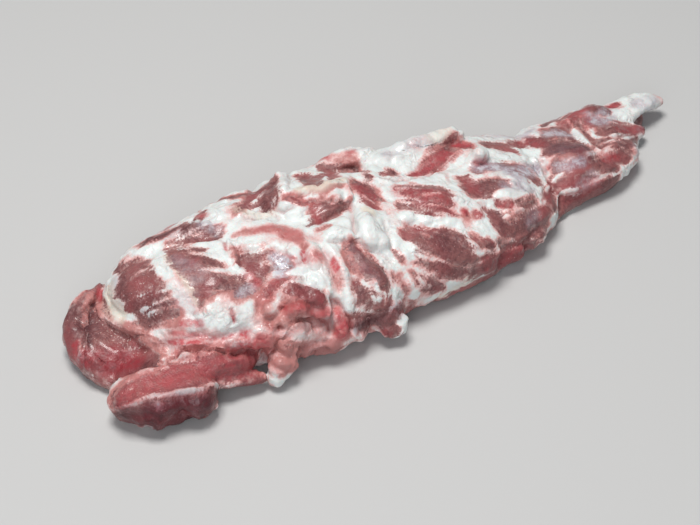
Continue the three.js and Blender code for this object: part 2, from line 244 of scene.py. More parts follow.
    "right fleck b": ("fat", -25, [(514, 212, 0.6), (521, 209, 0.8)]),
    "neck strip": ("lean", -60, [(551, 184, 2.0), (548, 196, 2.2), (543, 210, 2.0), (538, 222, 1.6)]),
    "neck muscle": ("lean", -60, [(557, 186, 2), (552, 200, 2.4), (545, 213, 2.2)]),
    "neck line": ("fat", -60, [(548, 203, 0.8), (540, 214, 1.0)]),
    "far muscle": ("lean", -6, [(489, 145, 3.4), (503, 147, 4.2), (514, 151, 2.6)]),
    "far red": ("lean", -10, [(456, 146, 2.8), (467, 147, 3.0)]),
    "far pink": ("lean", -25, [(514, 145, 2.4), (530, 140, 2.8), (542, 144, 3.4), (550, 136, 2.6)]),
    # tail
    "tail muscle": ("lean", -20, [(552, 150, 4), (566, 148, 6.5), (584, 152, 6.5), (592, 160, 4)]),
    "tail spot": ("fat", 0, [(541, 162, 1.4), (546, 168, 1.2)]),
    "tail far": ("lean", -25, [(560, 122, 2.4), (576, 112, 3.4), (594, 110, 3.6), (606, 112, 3)]),
    "tail line": ("lean", 50, [(573, 121, 0.8), (584, 134, 0.8), (592, 142, 0.8)]),
    "tail top": ("lean", -15, [(606, 132, 4.4), (624, 128, 4.8), (644, 128, 3)]),
    "tail end": ("lean", -25, [(606, 152, 5), (624, 148, 5), (636, 140, 3)]),
    "tail end line b": ("fat", -15, [(613, 151, 0.8), (620, 150, 0.7)]),
    "tail end line c": ("fat", -15, [(614, 160, 0.4), (628, 156, 0.6)]),
    "tail low": ("lean", -25, [(562, 180, 5), (588, 172, 5.6), (614, 166, 4)]),
    "tail low near": ("lean", -28, [(564, 204, 5), (592, 194, 5.6), (612, 180, 4.4)]),
    "tail low line a": ("fat", -8, [(584, 174, 0.5), (600, 175, 0.8), (618, 173, 0.8)]),
    "tail neck line": ("fat", -14, [(550, 181, 1.2), (562, 176, 1.0), (576, 173, 0.6)]),
    "tail edge fat": ("fat", 60, [(638, 146, 1.6), (634, 158, 2.6), (626, 168, 2.0)]),
    "slab end": ("lean", -10, [(206, 400, 5), (222, 388, 5), (240, 380, 4)]),
    "slab base": ("lean", -14, [(124, 416, 4), (150, 424, 4), (190, 422, 4), (206, 412, 4)]),
    "slab wall": ("lean", -14, [(178, 362, 4), (210, 358, 4), (250, 352, 4), (285, 356, 4)]),
    "under lobules": ("fat", 0, [(172, 360, 1.8), (186, 357, 2.2), (204, 355, 2.2), (220, 354, 1.8)]),
    "strap line a": ("fat", -28, [(160, 240, 0.4), (180, 233, 0.5), (198, 230, 0.3)]),
    "strap line b": ("fat", -28, [(176, 240, 0.3), (196, 234, 0.5), (214, 232, 0.4)]),
    "skin patch": ("lean", 0, [(276, 260, 2), (282, 268, 3.4)]),
    "far edge stripe": ("lean", -30, [(214, 204, 0.8), (230, 199, 1.2), (246, 196, 1.0)]),
    "band line a": ("fat", 25, [(352, 194, 0.3), (364, 198, 0.4), (374, 203, 0.3)]),
    "grained muscle low": ("lean", 6, [(402, 205, 3.4), (424, 207, 4.0), (444, 210, 3.4), (456, 215, 1)]),
    "grained line a": ("fat", 3, [(386, 186, 0.6), (402, 190, 0.4), (418, 191, 0.3)]),
    "grained line b": ("fat", 3, [(386, 193, 0.6), (404, 196, 0.6), (424, 197, 0.4), (438, 196, 0.3)]),
    "grained line c": ("fat", 5, [(388, 200, 0.6), (408, 203, 0.6), (428, 205, 0.5), (448, 206, 0.4)]),
    "grained line d": ("fat", 8, [(390, 207, 0.7), (406, 210, 0.4), (424, 213, 0.4)]),
    "middle foot line": ("fat", 50, [(356, 278, 0.5), (366, 286, 0.6), (380, 292, 0.5)]),
    "edge muscle far": ("lean", -20, [(520, 244, 3), (536, 232, 3), (546, 220, 2)]),
    "oval cover": ("lean", -10, [(478, 170, 3), (500, 166, 4.4), (520, 170, 6), (534, 178, 4)]),
    "oval line fat": ("fat", -14, [(470, 176, 0.8), (486, 174, 1.0), (504, 178, 1.0), (518, 184, 1.2)]),
    "oval spot": ("lean", 30, [(528, 177, 2.0), (534, 181, 1.6)]),
    "right arc": ("fat", 30, [(478, 222, 1.2), (488, 232, 2.0), (502, 240, 1.2), (514, 241, 0.5)]),
    "tail cover": ("lean", -20, [(548, 132, 3), (564, 128, 3), (556, 166, 3), (578, 168, 4)]),
    "tail far cover": ("lean", -25, [(586, 122, 3), (600, 124, 4), (606, 134, 3)]),
    "tail base": ("lean", -28, [(566, 212, 4), (596, 202, 4), (618, 184, 4)]),
    "tail band foot": ("fat", 45, [(586, 158, 0.8), (600, 154, 1.4), (612, 146, 0.7)]),
    "tail neck fat": ("fat", 60, [(522, 154, 1.6), (532, 160, 2.2), (541, 176, 1.6), (546, 190, 1.0)]),
    "tail tip fat": ("fat", -20, [(616, 112, 3), (632, 106, 5), (648, 100, 4), (658, 102, 3)]),
    "eye band": ("fat", 60, [(154, 260, 2.4), (166, 275, 3.8), (180, 292, 4.5), (188, 308, 4.2), (190, 318, 2.6)]),
    "fat mass": ("fat", 0, [(156, 334, 4), (180, 333, 6), (216, 324, 7.5), (244, 318, 6.5)]),
    "far stripe cover": ("lean", -26, [(160, 226, 0.8), (184, 215, 0.9), (198, 212, 1.0)]),
    "recess flap": ("fat", -10, [(240, 214, 1.2), (254, 212, 1.4), (266, 214, 1.6), (278, 216, 1.6)]),
    "fold white": ("fat", -25, [(306, 197, 1.4), (322, 197, 2.4), (338, 197, 2.6), (347, 194, 2)]),
    "middle line a": ("fat", 60, [(346, 250, 1.2), (352, 262, 1.0), (362, 276, 0.8), (374, 286, 0.7)]),
    "torn fat": ("fat", 0, [(270, 306, 3), (268, 322, 4), (284, 332, 6), (306, 330, 5), (324, 330, 4)]),
    "tab fat": ("fat", 0, [(262, 342, 4), (276, 356, 6), (276, 374, 4), (288, 360, 5), (296, 352, 4), (322, 350, 5)]),
    "bead fat": ("fat", 0, [(338, 308, 2), (343, 324, 3.4), (340, 332, 3)]),
    "nub white": ("fat", 0, [(352, 332, 2.4), (359, 334, 2.6)]),
    "tail low line b": ("fat", -12, [(562, 192, 0.6), (574, 193, 1.0), (584, 190, 0.4)]),
    "tail far edge": ("lean", -25, [(544, 126, 2.4), (552, 120, 3), (566, 114, 3), (580, 106, 3), (598, 102, 2.4)]),
    "tail far knob": ("fat", 0, [(534, 130, 1.2), (539, 132, 1.4)]),
    "tail end low": ("lean", -25, [(604, 164, 5), (620, 156, 5)]),
    "neck near": ("lean", -60, [(546, 214, 3), (538, 230, 3), (530, 242, 3)]),
    "strip white": ("fat", 35, [(116, 318, 1.2), (130, 324, 2.0), (142, 331, 2.6), (152, 339, 2.6), (160, 346, 1.4)]),
    "slab edge left": ("fat", -12, [(116, 408, 1.0), (128, 405, 1.2), (141, 401, 1.3), (154, 398, 1.3),
        (168, 395, 1.4)]),
    "slab edge right": ("fat", -10, [(176, 393, 1.4), (192, 391, 1.4), (208, 387, 1.1), (222, 385, 0.9),
        (238, 383, 0.6)]),
    "crevice fat": ("fat", 0, [(168, 345, 2.4), (190, 346, 2.6), (216, 346, 2.6), (242, 344, 2.8)]),
    "lane fat": ("fat", 60, [(381, 178, 2.2), (387, 192, 3.0), (390, 206, 3.4), (391, 216, 3.0)]),
    "right fleck white": ("fat", 20, [(508, 217, 1.2), (514, 219, 1.2)]),
    "tail red side": ("lean", 45, [(574, 118, 1.6), (586, 132, 1.6), (596, 144, 1.6)]),
    "brown muscle low": ("lean", -22, [(245, 264, 2.6), (256, 272, 3.6), (262, 280, 3.0)]),
    "rim edge": ("fat", -60, [(90, 297, 0.6), (81, 312, 0.8), (82, 326, 0.8), (85, 342, 0.8), (83, 358, 0.8)]),
    "tail patch": ("lean", -20, [(562, 130, 2.6), (574, 141, 3.0), (588, 151, 2.2)]),
    "tail nub": ("lean", -30, [(607, 107, 2.6), (614, 105, 2.8)]),
    "tail gap": ("lean", -25, [(598, 140, 2.2), (616, 139, 2.2), (634, 134, 1.6)]),
    "tail band": ("fat", 45, [(566, 120, 0.5), (578, 133, 0.7), (590, 146, 0.7), (599, 153, 1.0)]),
    "tail end line a": ("fat", -30, [(603, 150, 0.4), (612, 144, 0.6), (628, 140, 0.5)]),
}

# Soft stains and painted marks: kind, strength, and a stroke. The dark kind is painted shade in crevices, under parts
# and on cut faces, and darker lean on the eye and tail muscles.
stainsShadeAndGlints = {
    "fat mass": ("pink", 0.5, [(170, 339, 6), (215, 339, 9), (250, 330, 10)]),
    "fat mass near": ("pink", 0.3, [(158, 341, 4), (190, 348, 4), (222, 350, 4), (250, 344, 5)]),
    "fat mass top": ("pink", 0.3, [(190, 322, 9), (226, 304, 10), (254, 312, 8)]),
    "streak a": ("red", 0.9, [(183, 323, 1.3), (201, 323, 1.5)]),
    "streak b": ("red", 0.75, [(176, 333, 1.4), (195, 335, 1.8), (213, 337, 1.3)]),
    "streak c": ("red", 1.0, [(169, 342, 1.3), (188, 343, 1.9), (206, 342, 1.7)]),
    "streak d": ("red", 1.0, [(206, 340, 1.3), (224, 337, 1.8), (246, 334, 2.6)]),
    "streak e": ("red", 0.9, [(228, 347, 1.8), (246, 344, 2.6), (262, 341, 3.0)]),
    "slit": ("red", 1.0, [(231, 311, 0.9), (232, 317, 1.0), (234, 322, 0.8)]),
    "slit halo": ("pink", 0.5, [(232, 316, 3)]),
    "under lobules": ("pink", 0.25, [(176, 359, 2.6), (198, 355, 2.6), (216, 354, 2.4)]),
    "hem": ("pink", 0.5, [(88, 298, 2.4), (101, 308, 2.4), (114, 319, 2.4), (136, 330, 3)]),
    "hem red": ("red", 0.8, [(100, 291, 1.4), (101, 300, 1.4)]),
    "rim red": ("red", 1.0, [(76, 345, 1.4), (78, 356, 2.0), (83, 364, 1.6)]),
    "rim pink": ("pink", 0.35, [(84, 303, 4), (68, 330, 5), (74, 355, 5)]),
    "sheet foot red": ("red", 0.9, [(90, 358, 4), (112, 362, 6), (136, 362, 4)]),
    "slab cut shade": ("dark", 1.15, [(150, 414, 6), (180, 408, 7), (204, 404, 6)]),
    "slab cut shade low": ("dark", 0.9, [(128, 416, 7), (150, 422, 8), (190, 420, 8)]),
    "slab top red": ("red", 0.55, [(125, 398, 6), (180, 372, 8), (235, 366, 8), (260, 362, 6)]),
    "eye foot": ("dark", 0.5, [(138, 304, 4), (150, 314, 3.2), (158, 320, 2)]),
    "eye side": ("dark", 0.45, [(119, 282, 5), (126, 300, 5)]),
    "rim cream": ("cream", 0.8, [(110, 290, 4), (113, 304, 4.5), (124, 314, 3.5)]),
    "eye blue": ("veil", 0.2, [(182, 298, 4), (190, 308, 4)]),
    "strap shade": ("dark", 0.5, [(150, 241, 3), (172, 233, 3.4), (200, 227, 3)]),
    "strap veil": ("veil", 0.6, [(203, 226, 3), (216, 231, 3)]),
    "saddle veil": ("veil", 0.25, [(176, 258, 3), (196, 275, 5)]),
    "brown red": ("red", 0.75, [(250, 276, 2.4), (258, 284, 2.4)]),
    "brown shade": ("dark", 0.3, [(250, 264, 4), (260, 272, 4)]),
    "skin patch": ("veil", 1.4, [(275, 258, 3.0), (284, 266, 4.6), (281, 275, 3.6)]),
    "nub red": ("red", 0.7, [(202, 216, 3)]),
    "recess shade": ("dark", 0.1, [(270, 188, 4), (268, 204, 4), (252, 204, 3)]),
    "cord pink": ("pink", 0.6, [(222, 246, 3), (234, 256, 3.6)]),
    "cord red": ("red", 0.7, [(225, 246, 0.9), (226, 252, 0.9)]),
    "finger pink": ("pink", 0.58, [(294, 262, 4), (314, 264, 7), (334, 272, 5.5), (336, 290, 4)]),
    "finger red a": ("red", 1.0, [(303, 253, 1.0), (304, 262, 1.8)]),
    "finger red b": ("red", 1.0, [(332, 261, 0.7), (334, 266, 1.2), (337, 270, 0.8)]),
    "finger red c": ("red", 0.5, [(300, 264, 2.4), (326, 258, 1.2), (322, 250, 1)]),
    "finger line": ("red", 0.45, [(272, 248, 0.8), (286, 254, 1.0), (300, 266, 1.2)]),
    "finger spot": ("red", 0.5, [(286, 251, 1.2)]),
    "torn blush": ("red", 0.45, [(264, 296, 4), (276, 284, 4), (298, 281, 3)]),
    "torn dark": ("dark", 0.35, [(296, 292, 4), (312, 296, 5)]),
    "torn lobes": ("pink", 0.95, [(286, 309, 4), (300, 306, 4), (322, 311, 5)]),
    "torn pink": ("pink", 0.9, [(262, 300, 5), (262, 322, 6), (285, 322, 6)]),
    "torn lump red": ("red", 0.3, [(268, 330, 3), (290, 334, 2), (306, 324, 3), (322, 326, 4)]),
    "tab pink": ("pink", 1.15, [(262, 342, 5.5), (282, 350, 8), (286, 362, 7)]),
    "bead red": ("red", 0.9, [(337, 312, 2.6), (343, 324, 3.6), (340, 332, 3)]),
    "bead fat": ("pink", 0.6, [(336, 300, 3), (340, 310, 3)]),
    "disc red": ("red", 0.5, [(384, 333, 2.6), (390, 336, 2)]),
    "disc shade": ("dark", 0.4, [(384, 320, 5), (388, 332, 4)]),
    "belly shade": ("dark", 0.7, [(357, 326, 3), (369, 324, 3), (398, 310, 5)]),
    "lane pink": ("pink", 0.45, [(326, 290, 3), (338, 300, 3)]),
    "middle speckle": ("pink", 0.6, [(346, 254, 2.4), (352, 268, 2.6), (360, 276, 2)]),
    "fold pink": ("pink", 0.2, [(286, 172, 2), (288, 188, 2), (310, 196, 4)]),
    "fold red": ("red", 0.35, [(290, 200, 3), (300, 203, 3), (316, 208, 3)]),
    "fold cream": ("cream", 0.8, [(300, 192, 2.6), (322, 188, 2.8), (342, 181, 2.8)]),
    "recess cream": ("cream", 0.5, [(240, 210, 3), (258, 216, 3), (272, 214, 3)]),
    "saddle blush red": ("red", 0.35, [(256, 232, 3), (278, 229, 4), (296, 238, 4.5)]),
    "blush halo": ("pink", 0.4, [(246, 240, 4), (290, 246, 6), (312, 236, 5)]),
    "roll pink": ("pink", 0.8, [(320, 160, 4), (336, 158, 4), (352, 156, 4)]),
    "ridge red": ("red", 0.65, [(414, 175, 3), (428, 168, 4), (446, 154, 4.4)]),
    "band red": ("red", 0.5, [(358, 188, 4), (368, 196, 5)]),
    "band cream low": ("cream", 0.9, [(366, 210, 2.4), (372, 214, 2)]),
    "lane pink a": ("pink", 0.25, [(380, 186, 4.5), (386, 204, 4.5), (388, 222, 3)]),
    "grained red": ("red", 0.5, [(400, 190, 5), (420, 196, 7), (440, 202, 7), (450, 213, 3)]),
    "crack pink": ("pink", 0.5, [(420, 222, 1.2), (426, 228, 1.6)]),
    "lane pink b": ("pink", 0.35, [(446, 176, 1.2), (448, 186, 1.2)]),
    "lane pink c": ("pink", 0.45, [(466, 222, 2.5), (470, 232, 2.5)]),
    "seam mottle": ("pink", 0.4, [(476, 238, 3), (486, 242, 3)]),
    "flank dark": ("dark", 0.08, [(430, 242, 6), (456, 248, 6)]),
    "under fat cream": ("cream", 0.5, [(438, 296, 3), (458, 286, 4), (476, 274, 3)]),
    "dots red": ("red", 0.8, [(465, 212, 1.8)]),
    "dots red b": ("red", 0.8, [(479, 215, 2.4)]),
    "oval red": ("red", 0.3, [(468, 182, 4), (474, 192, 4)]),
    "oval veil": ("veil", 1.3, [(480, 168, 4.0), (500, 168, 5), (516, 174, 5.5), (534, 172, 4)]),
    "oval veil low": ("veil", 0.8, [(508, 186, 4), (526, 188, 4)]),
    "oval line red": ("red", 0.7, [(497, 204, 2), (510, 206, 2)]),
    "right dark": ("dark", 0.08, [(494, 216, 4), (508, 226, 4)]),
    "right veil": ("veil", 0.3, [(536, 212, 3), (532, 222, 4)]),
    "edge shade": ("dark", 0.35, [(486, 268, 3), (510, 258, 4), (520, 262, 3)]),
    "edge pink": ("pink", 0.6, [(531, 252, 2.4)]),
    # painted shadow under the button, in the blood red
    "button shade": ("red", 0.6, [(474, 163, 1.4), (486, 161, 1.4)]),
    "far red patch": ("red", 0.8, [(457, 146, 3.0), (467, 146, 3.0)]),
    "far red halo": ("pink", 0.5, [(462, 146, 6)]),
    "far pink patch": ("red", 0.4, [(520, 142, 3), (540, 144, 4)]),
    "far blue": ("veil", 0.7, [(474, 136, 4), (534, 132, 3)]),
    "tail veil a": ("veil", 0.9, [(546, 134, 3.0), (558, 132, 3.4), (568, 134, 3)]),
    "tail veil b": ("veil", 0.9, [(590, 118, 4), (600, 122, 4.5), (608, 116, 4.5)]),
    "tail veil c": ("veil", 0.85, [(556, 166, 3), (568, 164, 3.4), (580, 162, 3)]),
    "tail veil d": ("veil", 0.5, [(580, 186, 3), (594, 178, 4)]),
    "tail spot red": ("red", 0.5, [(541, 162, 2), (547, 168, 2.4)]),
    "tail far pink": ("pink", 0.6, [(576, 114, 4), (592, 116, 4)]),
    "tail pink spot": ("red", 0.75, [(606, 107, 3.4), (614, 105, 3.4)]),
    "tail red": ("red", 0.6, [(606, 158, 3), (614, 158, 3)]),
    "tail top red": ("red", 0.45, [(620, 130, 4), (642, 129, 4)]),
    "tail dark": ("dark", 0.6, [(562, 148, 7), (582, 154, 6)]),
    "tail low dark": ("dark", 0.3, [(572, 198, 4), (600, 190, 5)]),
    "tail tip veil": ("veil", 0.6, [(638, 104, 4), (652, 102, 4), (636, 152, 3)]),
    "slab end shade": ("dark", 0.4, [(208, 398, 4), (220, 392, 4)]),
    "band yellow": ("cream", 0.7, [(166, 256, 1.4), (180, 272, 1.6), (192, 290, 1.7), (198, 304, 1.4)]),
    "far edge stripe": ("pink", 0.5, [(214, 204, 2), (230, 199, 2), (246, 196, 2)]),
    "saddle blush": ("pink", 0.92, [(236, 236, 2.4), (260, 231, 4.0), (280, 229, 5.0), (294, 237, 5.4),
        (304, 248, 2.6)]),
    "roll red": ("red", 0.7, [(323, 157, 2.2), (328, 158, 2)]),
    "fold blush": ("pink", 0.8, [(288, 199, 3), (302, 204, 2.4)]),
    "fold foot blush": ("pink", 0.8, [(316, 232, 2.4), (328, 227, 2.4)]),
    "chip pink": ("pink", 0.4, [(345, 188, 1.6), (349, 200, 2)]),
    "sheet blue": ("veil", 0.5, [(384, 158, 4), (404, 152, 4), (424, 146, 4)]),
    "far edge cream": ("cream", 0.5, [(430, 142, 3), (446, 134, 3)]),
    "flank red": ("red", 0.15, [(410, 226, 3), (430, 238, 4), (446, 270, 4), (430, 284, 4)]),
    "edge red": ("red", 0.4, [(484, 264, 4), (504, 258, 4), (526, 250, 4)]),
    "neck strip red": ("red", 0.35, [(551, 184, 2.4), (546, 202, 2.4), (540, 218, 2)]),
    "tail muscle veil": ("veil", 0.15, [(560, 148, 6), (580, 150, 6)]),
    "tail far red": ("red", 0.4, [(566, 122, 3), (580, 112, 3.4), (590, 128, 3)]),
    "slab back fat": ("pink", 0.55, [(112, 392, 4), (120, 384, 4), (134, 376, 4), (162, 368, 2)]),
    "veiled": ("veil", 0.7, [(238, 296, 2.4), (250, 290, 3)]),
    "roll red far": ("red", 0.7, [(348, 153, 2.2), (353, 151, 2)]),
    "fold curl": ("pink", 0.9, [(322, 195, 1.2), (331, 190, 0.9), (342, 187, 1)]),
    "fold muscle red": ("red", 0.45, [(312, 210, 3), (320, 222, 3)]),
    "torn lobes red": ("red", 0.7, [(286, 309, 2.4), (300, 305, 2.4), (324, 311, 3.4)]),
    "torn lump": ("pink", 0.68, [(272, 330, 6), (300, 328, 7), (322, 330, 6)]),
    "tab red": ("red", 0.35, [(262, 344, 3), (270, 352, 3)]),
    "lower lump": ("pink", 0.9, [(296, 350, 6), (318, 350, 6), (332, 344, 4)]),
    "bead pink": ("pink", 1.0, [(337, 310, 3), (343, 324, 4), (340, 332, 4)]),
    "tab tip pink": ("pink", 0.35, [(272, 368, 3), (286, 366, 4)]),
    "tail low line b": ("pink", 0.8, [(563, 192, 0.9), (574, 193, 1.2), (586, 189, 0.6)]),
    "neck dark": ("red", 0.25, [(548, 200, 3), (542, 216, 3)]),
    "strip": ("pink", 0.45, [(120, 320, 3), (142, 331, 4), (156, 342, 3)]),
    "sheet foot shade": ("dark", 0.6, [(90, 360, 5), (116, 364, 7), (144, 364, 5)]),
    # small white flecks, partly fat flecks and partly painted glints on the wet surface
    "sheet specks": ("flecksAndGlints", 1.0, [(112, 336, 4), (126, 344, 4.5), (142, 350, 4)]),
    "sheet specks far": ("flecksAndGlints", 0.6, [(88, 318, 4), (100, 330, 7), (120, 338, 6)]),
    "rim shade": ("dark", 0.3, [(74, 312, 4), (68, 330, 5), (72, 348, 4)]),
    "slab specks": ("flecksAndGlints", 0.8, [(132, 392, 5), (150, 392, 4)]),
    "eye specks": ("flecksAndGlints", 0.5, [(130, 290, 9), (146, 306, 9)]),
    "tab low pink": ("pink", 1.0, [(270, 356, 3), (290, 364, 4)]),
    "finger halo": ("pink", 0.35, [(328, 260, 3.0), (334, 268, 3.2), (338, 282, 2.4)]),
    "middle veil": ("veil", 0.12, [(350, 250, 3), (360, 264, 3), (376, 280, 2)]),
    "crevice red": ("red", 0.3, [(176, 348, 3), (204, 348, 3), (236, 346, 4), (258, 342, 4)]),
    "eye shade": ("dark", 0.3, [(134, 282, 8), (150, 306, 9)]),
    "right foot dark": ("dark", 0.35, [(476, 272, 4), (506, 262, 4), (530, 248, 4)]),
    "rim edge pink": ("pink", 0.6, [(90, 297, 1.6), (82, 320, 1.8), (84, 350, 1.8)]),
    "rim inner shade": ("dark", 0.7, [(93, 306, 1.8), (88, 318, 2.4), (90, 334, 2.2), (91, 350, 1.8)]),
    "lower lump shade": ("dark", 0.3, [(304, 354, 5), (328, 350, 5)]),
    "tail low blush": ("red", 0.4, [(570, 196, 5), (596, 184, 5)]),
    "slab cut red": ("red", 0.35, [(150, 414, 6), (184, 409, 7), (204, 404, 5)]),
    "junction": ("pink", 0.6, [(157, 362, 3), (164, 356, 4), (172, 352, 3)]),
    "torn muscle red": ("red", 0.35, [(288, 291, 4), (304, 294, 5), (318, 298, 4)]),
}

# Where the meat is torn, its surface runs in sharp little folds: a stroke.
ragged = {
    "torn side": [(266, 300, 6), (292, 304, 9), (322, 312, 9)],
    "tab tip": [(276, 372, 5), (284, 366, 5)],
    "slab side": [(150, 424, 7), (196, 414, 7)],
    "torn foot": [(266, 326, 7), (290, 332, 9), (322, 332, 8)],
    "tab": [(266, 344, 6), (278, 364, 7), (296, 352, 7), (326, 350, 6)],
    "crevice": [(170, 350, 5), (204, 350, 5), (246, 346, 6)],
    "recess": [(244, 214, 5), (270, 214, 5)],
    "belly": [(352, 330, 5), (384, 326, 8), (400, 306, 6)],
    "right foot": [(486, 264, 5), (514, 254, 6), (536, 240, 6)],
}

# Rounded lobes, each standing up from the surface by that height in mm, edge to edge.
lobes = {
    "big lobule": (3.0, [(365, 221, 3.4), (371, 236, 5.4), (381, 243, 3.6)]),
    "left lobule": (2.2, [(334, 234, 3.0), (346, 237, 3.6)]),
    "upper lobule": (1.6, [(344, 222, 3.4)]),
    "fold chip": (2.2, [(345, 188, 1.1), (348, 196, 1.5), (350, 202, 1.4)]),
    "fold lobe": (1.5, [(336, 198, 2.8)]),
    "fold crest": (1.5, [(298, 193, 2.6), (322, 189, 2.4), (342, 184, 2.4)]),
    "fold bulge": (1.9, [(290, 210, 5), (305, 216, 4.6)]),
    "fold muscle": (1.6, [(318, 210, 3.6), (334, 211, 3)]),
    "fold head": (1.6, [(282, 178, 3), (282, 190, 3)]),
    "finger a": (1.9, [(312, 249, 2.8), (317, 264, 3.8), (325, 280, 3)]),
    "finger b": (1.7, [(328, 245, 2.6), (339, 262, 2.8), (346, 282, 2.4), (350, 300, 2.4), (348, 312, 1.8)]),
    "finger c": (1.3, [(292, 256, 2.6), (300, 268, 2.8)]),
    "cord": (2.0, [(229, 243, 1.0), (236, 254, 1.3), (237, 267, 1.5)]),
    "cord bed": (1.1, [(221, 246, 2.2), (228, 258, 2.6)]),
    "mass a": (1.8, [(162, 334, 3.4), (188, 328, 4.6)]),
    "mass b": (2.2, [(214, 314, 7.5), (240, 308, 6.5)]),
    "mass c": (1.5, [(178, 345, 2.2), (204, 345, 2.4)]),
    "mass d": (1.6, [(250, 322, 4), (262, 330, 4)]),
    "crevice lobule a": (1.6, [(214, 347, 1.9), (221, 345, 1.8)]),
    "crevice lobule b": (1.6, [(234, 345, 2.2), (242, 343, 2.0)]),
    "crevice lobule c": (1.7, [(252, 343, 2.4), (262, 341, 2.2)]),
    "under lobule a": (1.6, [(182, 357, 1.7), (189, 356, 1.6)]),
    "under lobule b": (1.6, [(199, 355, 1.8), (204, 354, 1.6)]),
    "under lobule c": (1.4, [(213, 354, 1.5)]),
    "torn ridge": (1.6, [(266, 292, 2), (276, 284, 2), (298, 281, 1.8)]),
    "torn muscle": (1.8, [(290, 292, 3.6), (316, 297, 3.4)]),
    "torn lobe a": (2.2, [(267, 310, 2.0), (275, 307, 2.4)]),
    "torn lobe b": (2.2, [(289, 310, 1.8), (299, 306, 2.4)]),
    "torn lobe c": (2.4, [(315, 313, 1.8), (327, 309, 2.8)]),
    "torn lobe d": (1.4, [(303, 314, 1.4), (311, 312, 1.0)]),
    "torn lobe e": (1.6, [(272, 326, 1.6), (284, 320, 1.6)]),
    "torn lump": (2.0, [(282, 330, 3), (302, 328, 4.0), (320, 330, 3.6)]),
    "tab fold": (1.4, [(260, 336, 2.4), (284, 344, 2.6), (304, 340, 1.6)]),
    "tab tip": (1.6, [(276, 368, 2.8), (283, 364, 2.6)]),
    "bead": (2.6, [(338, 316, 1.8), (343, 323, 3.0), (341, 331, 2.4)]),
    "nub a": (2.0, [(353, 334, 2.2)]),
    "nub b": (2.0, [(359, 336, 2.0)]),
    "button": (1.9, [(479, 155, 2.0)]),
    "button small": (0.9, [(493, 153, 1.2)]),
    "fleck a": (1.1, [(507, 217, 1.0), (509, 219, 1.1), (514, 218, 0.9)]),
    "fleck b": (0.9, [(514, 212, 0.6), (521, 209, 0.8)]),
    "oval ridge": (1.4, [(533, 160, 1.5), (541, 175, 1.5), (547, 188, 1.6)]),
    "oval fat": (1.5, [(488, 196, 2.6), (508, 196, 3.2), (528, 197, 2.8)]),
    "lane lobe a": (0.8, [(408, 217, 2.8)]),
    "lane lobe b": (0.9, [(424, 220, 3.2)]),
    "lane lobe c": (0.9, [(443, 222, 3.2)]),
    "lane lobe d": (0.8, [(458, 223, 2.8)]),
    "dot a": (1.2, [(465, 212, 1.5)]),
    "dot b": (1.6, [(479, 216, 2.1)]),
    "tail band": (1.1, [(568, 122, 2.0), (578, 134, 2.0), (590, 146, 1.9), (598, 152, 1.8)]),
    "tail swell": (1.2, [(570, 148, 6), (584, 152, 5)]),
    "tail end swell": (1.2, [(612, 154, 4.4), (628, 149, 4.4)]),
    "hem": (1.4, [(88, 299, 1.6), (101, 308, 1.6), (115, 319, 1.5), (138, 330, 1.4)]),
    "rim roll": (0.8, [(84, 304, 2.4), (70, 322, 4), (70, 342, 4), (79, 360, 3)]),
    "slab edge": (0.9, [(122, 409, 0.9), (140, 399, 1.2), (156, 400, 1.1), (168, 395, 1.5), (188, 392, 1.3),
        (212, 386, 0.9)]),
    "eye swell": (1.4, [(136, 284, 11), (154, 304, 10.5)]),
    "saddle swell": (1.0, [(186, 262, 8), (204, 276, 8)]),
    "grained swell": (1.0, [(404, 190, 4), (436, 198, 6)]),
    "flank swell": (1.2, [(424, 240, 6), (466, 253, 6)]),
    "middle swell": (1.4, [(356, 258, 4.2), (378, 277, 4.4)]),
    "middle foot swell": (1.4, [(360, 293, 4), (378, 304, 5)]),
    "ridge fat": (1.4, [(370, 158, 5), (404, 152, 5), (436, 140, 5), (448, 133, 4)]),
    "strap swell": (0.9, [(150, 241, 2.4), (178, 231, 3), (206, 229, 2.6)]),
    "face fill": (2.4, [(86, 318, 5), (92, 332, 7), (96, 346, 7), (106, 356, 6)]),
    "strip fill": (2.0, [(112, 318, 2.6), (126, 326, 3.4), (140, 334, 3.8), (152, 342, 3.4)]),
    "face fill far": (1.8, [(100, 324, 5), (112, 336, 6), (126, 348, 5)]),
}

